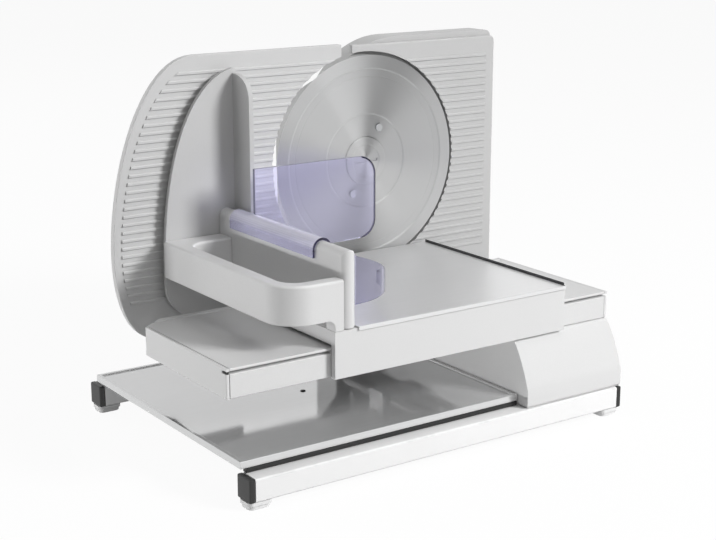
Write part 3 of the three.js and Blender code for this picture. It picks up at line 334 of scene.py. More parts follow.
@dataclass(frozen=True)
class PaintedSteel(Finish):
    """Stove paint on steel tube, with orange peel and a thin gloss."""

    color: Color = grey(0.82)
    bared: Color = grey(0.5)
    roughness: float = 0.34
    peels: float = 420.0
    clouds: float = 16.0
    rubs: float = 90.0

    def paint(self, shader: Shader) -> None:
        """Adds the orange peel, the gloss and greyed edges.

        Args:
            shader: the empty tree.
        """
        place = shader.place()
        peel = shader.noise(place, self.peels, 2.0)
        cloud = shader.noise(place, self.clouds, 4.0)
        rubbed = shader.mark() * shader.ranged(shader.noise(place, self.rubs, 5.0), 0.45, 0.7)
        base = shader.mix(cloud, scaled(self.color, 0.95), scaled(self.color, 1.04))
        worn = shader.mix(rubbed * 0.3, base, self.bared)
        shader.surface({"Base Color": worn, "Roughness": (cloud - 0.5) * 0.12 + self.roughness,
                        "Coat Weight": 0.25, "Coat Roughness": 0.12,
                        "Normal": shader.bump(peel, 0.1, 0.0004)})


@dataclass(frozen=True)
class PolishedSheet(Finish):
    """Polished stainless sheet with fine lines along its length, wipe marks, hairline scratches and a painted
    shade on marked faces.
    """

    color: Color = (0.635, 0.638, 0.64, 1.0)
    roughness: float = 0.07
    streak: float = 0.05
    along: Axis = Axis.X
    bare: float = 0.8
    # shade: how much marked faces take the painted shade colour
    shade: float = 0.0
    painted_shade_color: Color = grey(0.02)
    fine: float = 700.0
    drawn: float = 6.0

    def paint(self, shader: Shader) -> None:
        """Adds the polishing lines, the wipe marks, the scratches, a rolled haze and the painted shade.

        Args:
            shader: the empty tree.
        """
        place = shader.place()
        scale = [self.fine] * 3
        scale[self.along.value] = self.drawn
        lines = shader.noise(shader.stretched(place, scale), 1.0, 3.0, 0.65)
        wipe = shader.noise(shader.stretched(place, (9.0, 26.0, 9.0)), 1.0, 5.0, 0.6)
        hair = shader.noise(shader.stretched(place, (60.0, 1300.0, 60.0)), 1.0, 1.0)
        scratch = shader.ranged(hair, 0.72, 0.78)
        clean = shader.mix(lines, scaled(self.color, 0.95), scaled(self.color, 1.04))
        # marked faces, scaled by shade, go near black: painted shade, as on the inner wall of the table's rim
        base = shader.mix(shader.mark() * self.shade, clean, self.painted_shade_color)
        rough = lines * self.streak + wipe * 0.05 + scratch * 0.1 + (self.roughness - 0.045)
        haze = (wipe - 0.5) * 0.06 + self.bare
        shader.surface({"Base Color": base, "Metallic": haze, "Roughness": rough,
                        "Normal": shader.bump(lines, 0.035, 0.0001)})


@dataclass(frozen=True)
class TurnedSteel(Finish):
    """Ground steel disc with turning rings, so that it shines in a bow tie."""

    color: Color = (0.76, 0.763, 0.765, 1.0)
    roughness: float = 0.5
    anisotropy: float = 1.0
    rings: float = 1500.0
    stains: float = 28.0

    def paint(self, shader: Shader) -> None:
        """Adds rings about the disc's own axis and faint stains.

        Args:
            shader: the empty tree.
        """
        place = shader.place()
        flat = shader.stretched(place, (1.0, 1.0, 0.0))
        radius = shader.node("ShaderNodeVectorMath", {"operation": "LENGTH"}, {0: flat}, "Value")
        rings = shader.node("ShaderNodeTexNoise", {"noise_dimensions": "1D"},
                            {"W": radius, "Scale": self.rings, "Detail": 3.0})
        stain = shader.noise(place, self.stains, 5.0, 0.6)
        base = shader.mix(rings * 0.6 + stain * 0.4, scaled(self.color, 0.93), scaled(self.color, 1.05))
        rough = rings * 0.06 + stain * 0.05 + (self.roughness - 0.055)
        shader.surface({"Base Color": base, "Metallic": 1.0, "Roughness": rough,
                        "Anisotropic": self.anisotropy, "Anisotropic Rotation": 0.25,
                        "Normal": shader.bump(rings, 0.02, 0.0001)})


@dataclass(frozen=True)
class MachinedMetal(Finish):
    """Machined metal with fine tool marks and dulled patches."""

    color: Color = (0.55, 0.56, 0.57, 1.0)
    roughness: float = 0.3
    patches: float = 60.0

    def paint(self, shader: Shader) -> None:
        """Adds tool marks and dull patches.

        Args:
            shader: the empty tree.
        """
        place = shader.place()
        marks = shader.noise(shader.stretched(place, (160.0, 1400.0, 160.0)), 1.0, 2.0)
        dull = shader.noise(place, self.patches, 4.0)
        base = shader.mix(dull, scaled(self.color, 0.85), scaled(self.color, 1.1))
        shader.surface({"Base Color": base, "Metallic": 1.0,
                        "Roughness": marks * 0.12 + dull * 0.12 + (self.roughness - 0.1),
                        "Normal": shader.bump(marks, 0.06, 0.0001)})


@dataclass(frozen=True)
class SoftRubber(Finish):
    """Matt moulded rubber with a fine dusty tooth."""

    color: Color = grey(0.78)
    teeth: float = 1100.0
    dusting: float = 70.0

    def paint(self, shader: Shader) -> None:
        """Adds the tooth and the dust.

        Args:
            shader: the empty tree.
        """
        place = shader.place()
        tooth = shader.noise(place, self.teeth, 3.0)
        dust = shader.noise(place, self.dusting, 5.0, 0.6)
        base = shader.mix(dust, scaled(self.color, 0.86), scaled(self.color, 1.1))
        shader.surface({"Base Color": base, "Roughness": dust * 0.2 + 0.62,
                        "Normal": shader.bump(tooth, 0.25, 0.0002)})


@dataclass(frozen=True)
class GearPlastic(Finish):
    """Waxy off-white gear plastic."""

    color: Color = (0.72, 0.70, 0.64, 1.0)
    clouds: float = 85.0

    def paint(self, shader: Shader) -> None:
        """Adds waxy clouds and a slight sink in the surface.

        Args:
            shader: the empty tree.
        """
        place = shader.place()
        cloud = shader.noise(place, self.clouds, 4.0)
        base = shader.mix(cloud, scaled(self.color, 0.9), scaled(self.color, 1.08))
        shader.surface({"Base Color": base, "Roughness": cloud * 0.15 + 0.36, "Subsurface Weight": 0.08,
                        "Subsurface Scale": 0.002, "Normal": shader.bump(cloud, 0.08, 0.0004)})


@dataclass(frozen=True)
class TintedClear(Finish):
    """Clear plastic with a violet tint, painted dark at its cut edges as the shade they take, and milky where
    it rides on the fence, lighter on upward faces as a painted highlight.
    """

    color: Color = (0.79, 0.78, 0.975, 1.0)
    # rim: a dark violet painted on marked faces, as the shade that the cut edges and the guard take
    rim: Color = (0.03, 0.024, 0.085, 1.0)
    # the milky colour laid on the saddle, graded upward as a painted highlight over a real milky rub
    frost_and_highlight: Color = (0.84, 0.83, 0.97, 1.0)
    roughness: float = 0.035
    clearness: float = 0.92
    milkiness: float = 0.8
    index: float = 1.49
    ripples: float = 42.0

    def paint(self, shader: Shader) -> None:
        """Adds the painted shade at the rims, fine scuffs and the milky rub, whose upward grading is a
        painted highlight.

        Args:
            shader: the empty tree.
        """
        place = shader.place()
        scuff = shader.noise(shader.stretched(place, (130.0, 420.0, 130.0)), 1.0, 4.0, 0.6)
        ripple = shader.noise(place, self.ripples, 2.0)
        # dark violet on marked faces: painted shade on the cut rims and the guard
        base = shader.mix(shader.mark(), self.color, self.rim)
        normal = shader.bump(ripple, 0.04, 0.0006)
        rough = shader.ranged(scuff, 0.55, 0.8, self.roughness, 0.16)
        glass = shader.node("ShaderNodeBsdfPrincipled", None,
                            {"Base Color": base, "Roughness": rough, "IOR": self.index,
                             "Transmission Weight": self.clearness, "Normal": normal})
        milk = shader.node("ShaderNodeBsdfPrincipled", None,
                           {"Base Color": shader.mix(shader.mark(), self.frost_and_highlight, self.rim),
                            "Roughness": rough + 0.12, "IOR": self.index, "Coat Weight": 0.6,
                            "Coat Roughness": 0.06, "Normal": normal})
        # the milky share follows a mask graded upward: partly a painted highlight
        frosted_and_lit = shader.mark(FROST_AND_HIGHLIGHT_MARK) * self.milkiness
        shader.close(shader.node("ShaderNodeMixShader", None, {0: frosted_and_lit, 1: glass, 2: milk}))


class Finishes:
    """The machine's finishes, each under a material slot of the record."""

    silver = MouldedPlastic("silver_plastic", grey(0.66), roughness=0.42, metallic=0.1)
    # stop and tower: darker copies of the silver plastic, a painted shade standing in for the light these
    # plates get
    stop = MouldedPlastic("silver_plastic", grey(0.56), roughness=0.42, metallic=0.1, name="stop_silver_painted_shade")
    tower = MouldedPlastic("silver_plastic", grey(0.49), roughness=0.42, metallic=0.1, name="tower_silver_painted_shade")
    shield = MouldedPlastic("shield_plastic", grey(0.52), roughness=0.42, metallic=0.1)
    black = MouldedPlastic("black_plastic", grey(0.016), roughness=0.46, mottling=0.1, wear=0.12)
    dark = MouldedPlastic("dark_plastic", grey(0.045), roughness=0.48, mottling=0.1, wear=0.12)
    pale = MouldedPlastic("pale_plastic", (0.74, 0.74, 0.72, 1.0), roughness=0.36)
    white = PaintedSteel("white_paint")
    rubber = SoftRubber("pale_rubber")
    mirror = PolishedSheet("mirror_steel", (0.67, 0.673, 0.675, 1.0), bare=0.62)
    # satin: its marked faces carry a painted shade
    satin = PolishedSheet("mirror_steel", (0.80, 0.802, 0.805, 1.0), 0.3, 0.08, bare=0.62, shade=0.9,
                         name="satin_steel")
    brushed = TurnedSteel("brushed_steel")
    shaft = MachinedMetal("shaft_steel")
    # rod and bracket: darker copies of the steel, a painted shade so the parts under the beam stay dark
    rod = MachinedMetal("shaft_steel", grey(0.36), roughness=0.5, name="rod_steel_painted_shade")
    bracket = MachinedMetal("brushed_steel", grey(0.36), roughness=0.5, name="bracket_steel_painted_shade")
    bronze = MachinedMetal("bearing_bronze", (0.58, 0.38, 0.17, 1.0), roughness=0.36)
    nylon = GearPlastic("gear_nylon")
    # bearing: a darker copy of the gear nylon, a painted shade so the rod guides under the beam stay dark
    bearing = GearPlastic("gear_nylon", (0.42, 0.42, 0.425, 1.0), name="bearing_nylon_painted_shade")
    clear = TintedClear("tinted_clear")


# Shaping


def deep(axis: Axis, size: float) -> EdgeTest:
    """Tells the edges of walls that run deep along an axis.

    Args:
        axis: the axis to measure along.
        size: the least depth in metres.

    Returns:
        A test of an edge.
    """
    def is_wall(face: bmesh.types.BMFace) -> bool:
        """Whether a face is a wall of that depth."""
        reach = [v.co[axis.value] for v in face.verts]
        return max(reach) - min(reach) >= size and abs(face.normal[axis.value]) < 0.5

    def test(edge: bmesh.types.BMEdge) -> bool:
        """Whether a wall beside the edge is deep enough."""
        return any(is_wall(face) for face in edge.link_faces)
    return test


def middle(edge: bmesh.types.BMEdge) -> Vector:
    """The point half way along an edge."""
    return (edge.verts[0].co + edge.verts[1].co) / 2


def outline(edge: bmesh.types.BMEdge) -> bool:
    """Whether an edge lies on a plate's outline, away from the blade."""
    reach = middle(edge) - BladeUnit.axis
    return deep(Axis.Y, PLATE_WALL)(edge) and math.hypot(reach.x, reach.z) > BLADE_CLEARANCE


def ridge(edge: bmesh.types.BMEdge, shortest: float = 0.004) -> bool:
    """Whether an edge stands out and runs along a rib."""
    run = edge.verts[1].co - edge.verts[0].co
    return edge.is_convex and abs(run.x) > shortest and abs(run.x) > 0.99 * run.length


def as_mesh(work: bmesh.types.BMesh, name: str) -> bpy.types.Mesh:
    """Turns work in hand into a mesh and puts the work away.

    Args:
        work: the shape in hand.
        name: the mesh's name.

    Returns:
        The new mesh.
    """
    mesh = bpy.data.meshes.new(name)
    work.to_mesh(mesh)
    work.free()
    return mesh


def linked(name: str, data: bpy.types.ID) -> bpy.types.Object:
    """Adds an object to the scene.

    Args:
        name: the object's name.
        data: its mesh, lamp or camera.

    Returns:
        The new object.
    """
    made = bpy.data.objects.new(name, data)
    bpy.context.scene.collection.objects.link(made)
    return made


@dataclass(frozen=True)
class Round:
    """A rounding along sharp edges, in metres, that may be held back where edges crowd."""

    radius: float
    steps: int = 3
    least: float = 0.0
    where: EdgeTest | None = None
    held: bool = True

    def edges(self, work: bmesh.types.BMesh) -> list[bmesh.types.BMEdge]:
        """The edges of a mesh that take this rounding.

        Args:
            work: the mesh being shaped.

        Returns:
            The chosen edges.
        """
        return [e for e in work.edges
                if len(e.link_faces) == 2 and e.calc_face_angle(0.0) > SHARP
                and e.calc_length() >= self.least and (self.where is None or self.where(e))]


EASED = Round(0.0008, 2)
CRISP = Round(0.0005, 2)


def softened(node: str, rounds: Sequence[Round], marks: Mapping[str, FaceTest] | None = None
             ) -> bpy.types.Mesh:
    """A copy of a CAD node's mesh with whole flat faces and rounded edges.

    Args:
        node: the CAD node.
        rounds: the roundings, in the order they are run.
        marks: gives each face's marks in place of the roundings' edge mark.

    Returns:
        The new mesh.
    """
    work = bmesh.new()
    work.from_mesh(frame["nodes"][node].data)
    bmesh.ops.remove_doubles(work, verts=work.verts, dist=WELD)
    bmesh.ops.dissolve_limit(work, angle_limit=FLAT, verts=work.verts, edges=work.edges)
    work.normal_update()
    layer = work.faces.layers.float.new(EDGE_MARK)
    for turn in rounds:
        edges = turn.edges(work)
        if not edges:
            continue
        made = bmesh.ops.bevel(work, geom=edges, offset=turn.radius, offset_type="OFFSET", affect="EDGES",
                               segments=turn.steps, profile=0.5, clamp_overlap=turn.held)
        work.normal_update()
        if marks is None:
            for face in made["faces"]:
                face[layer] = 1.0
    bmesh.ops.dissolve_degenerate(work, dist=SLIVER, edges=work.edges)
    work.normal_update()
    for name, test in (marks or {}).items():
        layer = work.faces.layers.float.get(name) or work.faces.layers.float.new(name)
        for face in work.faces:
            face[layer] = test(face)
    return as_mesh(work, node + "_mesh")


def turned(profile: Sequence[tuple[float, float]], steps: int) -> bmesh.types.BMesh:
    """A shape turned about its own Z axis.

    Args:
        profile: radius and height of each ring, in metres.
        steps: how many sides a ring has.

    Returns:
        The shape in hand.
    """
    work = bmesh.new()
    rings = []
    for radius, height in profile:
        if radius < 1e-7:
            rings.append([work.verts.new((0.0, 0.0, height))])
            continue
        turns = [math.tau * k / steps for k in range(steps)]
        rings.append([work.verts.new((radius * math.cos(t), radius * math.sin(t), height)) for t in turns])
    for low, high in zip(rings, rings[1:]):
        for k in range(steps):
            after = (k + 1) % steps
            corners = [low[k % len(low)], low[after % len(low)], high[after % len(high)], high[k % len(high)]]
            corners = list(dict.fromkeys(corners))
            if len(corners) > 2:
                work.faces.new(corners)
    bmesh.ops.remove_doubles(work, verts=work.verts, dist=1e-7)
    bmesh.ops.recalc_face_normals(work, faces=work.faces)
    return work


def slab(name: str, outlines: Sequence[Sequence[tuple[float, float]]], height: float) -> bpy.types.Mesh:
    """Flat pieces that stand on their own XY plane, with a rounded upper edge.

    Args:
        name: the mesh's name.
        outlines: the corners of each piece, in metres.
        height: how high they stand.

    Returns:
        The new mesh.
    """
    work = bmesh.new()
    for corners in outlines:
        foot = [work.verts.new((x, y, 0.0)) for x, y in corners]
        head = [work.verts.new((x, y, height)) for x, y in corners]
        work.faces.new(foot[::-1])
        work.faces.new(head)
        for k, low in enumerate(foot):
            after = (k + 1) % len(foot)
            work.faces.new((low, foot[after], head[after], head[k]))
    bmesh.ops.recalc_face_normals(work, faces=work.faces)
    brims = [e for e in work.edges if all(abs(v.co.z - height) < 1e-7 for v in e.verts)]
    bmesh.ops.bevel(work, geom=brims, offset=height * 0.35, offset_type="OFFSET", affect="EDGES", segments=2,
                    profile=0.5, clamp_overlap=True)
    return as_mesh(work, name)


def to_right(point: Sequence[float]) -> Matrix:
    """A place on the right side, with a piece's own Z to the right and its own Y up."""
    turn = Matrix(((0.0, 0.0, 1.0), (1.0, 0.0, 0.0), (0.0, 1.0, 0.0))).to_4x4()
    return Matrix.Translation(Vector(point)) @ turn


def shaded(piece: bpy.types.Object, smooth: float) -> None:
    """Smooths a piece's shading below an angle and keeps its flats flat.

    Args:
        piece: the piece.
        smooth: the angle in degrees.
    """
    piece.data.shade_smooth()
    piece.data.set_sharp_from_angle(angle=math.radians(smooth))
    even = piece.modifiers.new("even_shading", "WEIGHTED_NORMAL")
    even.keep_sharp = True
    even.weight = 90


class SubAssembly:
    """Shared ways to make and dress the pieces of one sub-assembly."""

    def finished(self, node: str, finish: Finish, *rounds: Round,
                 marks: Mapping[str, FaceTest] | None = None) -> bpy.types.Object:
        """Replaces a CAD node by its softened copy.

        Args:
            node: the CAD node.
            finish: the finish to put on.
            rounds: the roundings along its edges.
            marks: gives each face's marks in place of the roundings' edge mark.

        Returns:
            The new piece.
        """
        return self.placed(node + "_finished", softened(node, rounds, marks), finish, node)

    def placed(self, name: str, mesh: bpy.types.Mesh, finish: Finish, node: str,
               matrix: Matrix | None = None, smooth: float = 40.0, stands: bool = True) -> bpy.types.Object:
        """Adds a piece that rides with a CAD node's body.

        Args:
            name: the piece's name.
            mesh: its mesh.
            finish: the finish to put on.
            node: the CAD node whose body it rides on.
            matrix: where it sits, if not at the origin.
            smooth: the angle below which shading is smooth, in degrees.
            stands: whether it stands for the node.

        Returns:
            The new piece.
        """
        piece = linked(name, mesh)
        if matrix is not None:
            piece.matrix_world = matrix
        shaded(piece, smooth)
        finish.dress(piece)
        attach(piece, frame["nodes"][node]["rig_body"])
        if stands:
            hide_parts(node)
        LOG.info("%s: %d faces", name, len(mesh.polygons))
        return piece

    def kept(self, finish: Finish, *nodes: str) -> None:
        """Dresses CAD nodes that stay as they are.

        Args:
            finish: the finish to put on.
            nodes: the CAD nodes.
        """
        for node in nodes:
            for holder in frame["nodes"][node].material_slots:
                holder.material = finish.material()
            LOG.info("%s: kept", node)

    def build(self) -> None:
        """Makes and dresses the sub-assembly's pieces."""
        raise NotImplementedError


# Sub-assemblies


@dataclass
class BaseFrame(SubAssembly):
    """Two square rails with end caps and feet, and what joins them."""

    rail_round: float = 0.0016
    cap_round: float = 0.0014
    foot_round: float = 0.001
    cut_round: float = 0.0003
    runner_round: float = 0.0006

    def build(self) -> None:
        """Makes the rails, caps, feet, floor plate, cross bar and tray runners."""
        for rail in ("front_rail", "rear_rail"):
            self.finished(rail, Finishes.white, Round(self.rail_round, 3, least=0.1),
                          Round(self.cut_round, 1))
        for end in ("front_left", "front_right", "rear_left", "rear_right"):
            self.finished("rail_cap_" + end, Finishes.black, Round(self.cap_round, 3, least=0.004))
            self.finished("foot_" + end, Finishes.rubber, Round(self.foot_round, 2))
        self.finished("floor_plate", Finishes.dark, EASED)
        self.finished("cross_bar", Finishes.shaft, EASED)
        for side in ("front", "rear"):
            self.finished("tray_runner_" + side, Finishes.black, Round(self.runner_round, 2))


@dataclass
class SliceTray(SubAssembly):
    """The polished tray that catches the slices."""

    rim_round: float = 0.0008
    stud_place: tuple[float, float, float] = (-0.06985, -0.0214, 0.0328)
    stud_radius: float = 0.0022
    stud_sunk: float = -0.0002
    stud_steps: int = 32

    def build(self) -> None:
        """Makes the tray with a soft folded rim, and its dark stud."""
        self.finished("slice_tray", Finishes.mirror, Round(self.rim_round, 3))
        wide, sunk = self.stud_radius, self.stud_sunk
        stud = turned([(0.0, sunk), (wide, sunk), (wide, 0.0003), (wide * 0.85, 0.0006), (wide * 0.5, 0.0008),
                       (0.0, 0.0009)], self.stud_steps)
        self.placed("tray_stud", as_mesh(stud, "stud_mesh"), Finishes.black, "slice_tray",
                    Matrix.Translation(self.stud_place), stands=False)


@dataclass
class Pedestal(SubAssembly):
    """The block at the right that carries the beam and the tower."""

    shell_round: float = 0.0024
    gland_round: float = 0.0008

    def build(self) -> None:
        """Makes the shell, the switch body and the gland."""
        self.finished("pedestal_shell", Finishes.silver, Round(self.shell_round, 4, least=0.04), CRISP)
        self.finished("switch_body", Finishes.black, EASED)
        self.finished("cord_gland", Finishes.black, Round(self.gland_round, 3))


@dataclass
class GuideBeam(SubAssembly):
    """The flat beam that the carriage slides on."""

    edge_round: float = 0.0016
    cap_round: float = 0.0009
    plug_place: tuple[float, float, float] = (-0.19325, -0.11645, 0.0983)
    plug_size: tuple[float, float, float] = (0.0055, 0.0019, 0.0024)

    def build(self) -> None:
        """Makes the beam with soft long edges, its two end caps and the plug in its groove's left end."""
        self.finished("guide_beam", Finishes.silver, Round(self.edge_round, 3, least=0.2))
        for end in ("left", "right"):
            self.finished("beam_cap_" + end, Finishes.silver, Round(self.cap_round, 3, least=0.004))
        wide, tall, long = self.plug_size
        corners = [(-wide / 2, -tall / 2), (wide / 2, -tall / 2), (wide / 2, tall / 2), (-wide / 2, tall / 2)]
        seat = to_right(self.plug_place) @ Matrix.Rotation(math.pi, 4, "Y")
        self.placed("groove_plug", slab("plug_mesh", [corners], long), Finishes.black, "beam_cap_left", seat,
                    stands=False)


@dataclass
class Carriage(SubAssembly):
    """The food carriage: frame, table, fence, shield, handle and glide shoes."""

    apron_round: float = 0.0012
    bar_round: float = 0.0046
    shield_round: float = 0.0014
    table_round: float = 0.0004
    rim_zone: float = 0.003
    bar_depth: float = 0.02
    brim: float = 0.0005
    seam: float = 0.0002

    def build(self) -> None:
        """Makes the carriage's pieces."""
        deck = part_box("carriage_frame")[1].z
        bar_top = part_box("carriage_handle")[1].z
        bar_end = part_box("carriage_handle")[1].x
        table_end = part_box("carriage_table")[1].x

        def under_deck(edge: bmesh.types.BMEdge) -> bool:
            """Whether an edge lies below the deck's top face."""
            return middle(edge).z < deck - self.seam / 2

        def bar_brim(edge: bmesh.types.BMEdge) -> bool:
            """Whether an edge lies on the handle bar's top, clear of the fence."""
            return middle(edge).z > bar_top - self.brim and middle(edge).x < bar_end - self.seam

        def bar_foot(edge: bmesh.types.BMEdge) -> bool:
            """Whether an edge lies low on the handle bar, clear of the deck and the fence."""
            low = deck + self.seam * 4 < middle(edge).z < bar_top - self.bar_depth
            return low and middle(edge).x < bar_end - self.seam

        def shaded_rim_wall(face: bmesh.types.BMFace) -> float:
            """1 on the inner wall of the table's right rim, which is painted dark as shade."""
            inner = face.calc_center_median().x > table_end - self.rim_zone and face.normal.x < -0.5
            return 1.0 if inner else 0.0

        self.finished("carriage_frame", Finishes.silver,
                      Round(self.apron_round, 3, least=0.003, where=under_deck))
        self.finished("carriage_table", Finishes.satin, Round(self.table_round, 2, least=0.0007),
                      marks={EDGE_MARK: shaded_rim_wall})
        self.finished("food_fence", Finishes.silver, EASED)
        self.finished("hand_shield", Finishes.shield, Round(self.shield_round, 3))
        self.finished("carriage_handle", Finishes.silver, Round(self.bar_round, 6, where=bar_brim),
                      Round(self.apron_round, 3, where=bar_foot))
        for shoe in ("front_left", "front_right", "rear"):
            self.finished("glide_shoe_" + shoe, Finishes.nylon, EASED)


@dataclass
class Pusher(SubAssembly):
    """The clear tinted end piece pusher that rides on the fence."""

    edge_round: float = 0.0006
    rim_round: float = 0.00145
    plate_front: float = 0.0086
    plate_depth: float = 0.003
    corner: float = 0.0165
    saddle_front: float = -0.0874
    saddle_right: float = -0.084
    saddle_crown: float = 0.181
    crown_slope: float = 0.75
    flank_frost_and_highlight: float = 0.2
    guard_tip: float = -0.042
    guard_depth: float = 0.05
    # how much of the painted dark rim colour the guard takes, as painted shade for its double walls
    guard_painted_shade: float = 0.38
    near: float = 0.0005

    def in_plate(self, point: Vector) -> bool:
        """Whether a point lies in the upright plate right of the saddle."""
        behind = self.plate_front - self.near < point.y < self.plate_front + self.plate_depth + self.near
        return behind and point.x > self.saddle_right

    def build(self) -> None:
        """Makes the pusher, with painted shade darkening its rims and guard, and the saddle milky, lighter
        where it faces up as a painted highlight.
        """
        low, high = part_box("end_piece_pusher")

        def right_edge(edge: bmesh.types.BMEdge) -> bool:
            """Whether an edge lies along the plate's right outline."""
            return self.in_plate(middle(edge)) and middle(edge).x > high.x - self.corner

        def rim(face: bmesh.types.BMFace) -> float:
            """Tells how much painted shade darkens a face.

            Args:
                face: the face.

            Returns:
                1 on the cut rims of the walls, a little on the guard, 0 on broad sides.
            """
            # dark rims and a darker guard: painted shade for the deeper tint that light takes through edges
            # and double walls
            centre, normal = face.calc_center_median(), face.normal
            saddle = centre.x < self.saddle_right
            if self.in_plate(centre):
                return 1.0 if centre.x > high.x - self.corner and abs(normal.y) < 0.97 else 0.0
            mouth = saddle and abs(centre.y - self.saddle_front) < 0.0006 and normal.y < -0.3
            foot = centre.z < low.z + 0.0012 and normal.z < -0.3
            tip = centre.x > self.guard_tip and centre.y < self.saddle_front + self.guard_depth
            if mouth or foot or (tip and normal.y > 0.6):
                return 1.0
            return 0.0 if saddle else self.guard_painted_shade

        def rubbed(face: bmesh.types.BMFace) -> float:
            """Tells how milky a face is, graded by how much it faces up as a painted highlight.

            Args:
                face: the face.

            Returns:
                1 on the saddle's crown, less on its flanks, 0 elsewhere.
            """
            centre = face.calc_center_median()
            if centre.x > self.saddle_right or centre.z > self.saddle_crown:
                return 0.0
            # faces that look up get more of the milky colour: a painted highlight on the saddle's crown
            upward = min(1.0, max(0.0, face.normal.z / self.crown_slope))
            return self.flank_frost_and_highlight + (1.0 - self.flank_frost_and_highlight) * upward

        self.finished("end_piece_pusher", Finishes.clear, Round(self.rim_round, 3, where=right_edge),
                      Round(self.edge_round, 2), marks={EDGE_MARK: rim, FROST_AND_HIGHLIGHT_MARK: rubbed})


@dataclass
class StopGauge(SubAssembly):
    """The ribbed stop plate with its bracket, rods and guides."""

    rim_round: float = 0.003
    rib_round: float = 0.00035
    rod_round: float = 0.0006

    def build(self) -> None:
        """Makes the plate, bracket, rods and rod guides."""
        self.finished("stop_plate", Finishes.stop, Round(self.rim_round, 4, where=outline),
                      Round(self.rib_round, 2, where=ridge, held=False))
        self.finished("stop_bracket", Finishes.bracket, EASED)
        for side in ("left", "right"):
            self.finished("stop_rod_" + side, Finishes.rod, Round(self.rod_round, 2))
            self.finished("rod_guide_" + side, Finishes.bearing, EASED)


@dataclass
class ThicknessDial(SubAssembly):
    """The thickness dial and its cam."""

    centre: tuple[float, float] = (0.0191, 0.05)
    rest_angle: float = -48.75
    first: float = -11.35
    sweep: float = 300.2
    ticks: int = 11
    tick: tuple[float, float, float] = (0.0235, 0.0262, 0.0008)
    tick_height: float = 0.0003
    pointer: tuple[float, float, float] = (0.009, 0.0185, 0.0016)
    pointer_height: float = 0.0006

    @staticmethod
    def bar(angle: float, start: float, end: float, width: float) -> list[tuple[float, float]]:
        """The corners of a bar that points out from the middle.

        Args:
            angle: its direction in degrees, from the rear upward.
            start: where it begins.
            end: where it ends.
            width: its width.

        Returns:
            Four corners.
        """
        turn = math.radians(angle)
        out, side = Vector((math.cos(turn), math.sin(turn))), Vector((-math.sin(turn), math.cos(turn)))
        corners = [out * start - side * width / 2, out * end - side * width / 2,
                   out * end + side * width / 2, out * start + side * width / 2]
        return [(c.x, c.y) for c in corners]

    def build(self) -> None:
        """Makes the dial with its pointer, the scale beside it and the cam."""
        self.finished("thickness_dial", Finishes.dark, EASED)
        self.finished("thickness_cam", Finishes.nylon, CRISP)
        step = self.sweep / (self.ticks - 1)
        start = self.rest_angle + self.first
        scale = [self.bar(start + step * k, *self.tick) for k in range(self.ticks)]
        self.placed("dial_scale", slab("scale_mesh", scale, self.tick_height), Finishes.dark,
                    "pedestal_shell", to_right((PEDESTAL_FACE - SUNK, *self.centre)), stands=False)
        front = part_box("thickness_dial")[1].x
        pointer = [self.bar(self.rest_angle, *self.pointer)]
        self.placed("dial_pointer", slab("pointer_mesh", pointer, self.pointer_height), Finishes.pale,
                    "thickness_dial", to_right((front - SUNK * 2, *self.centre)), stands=False)


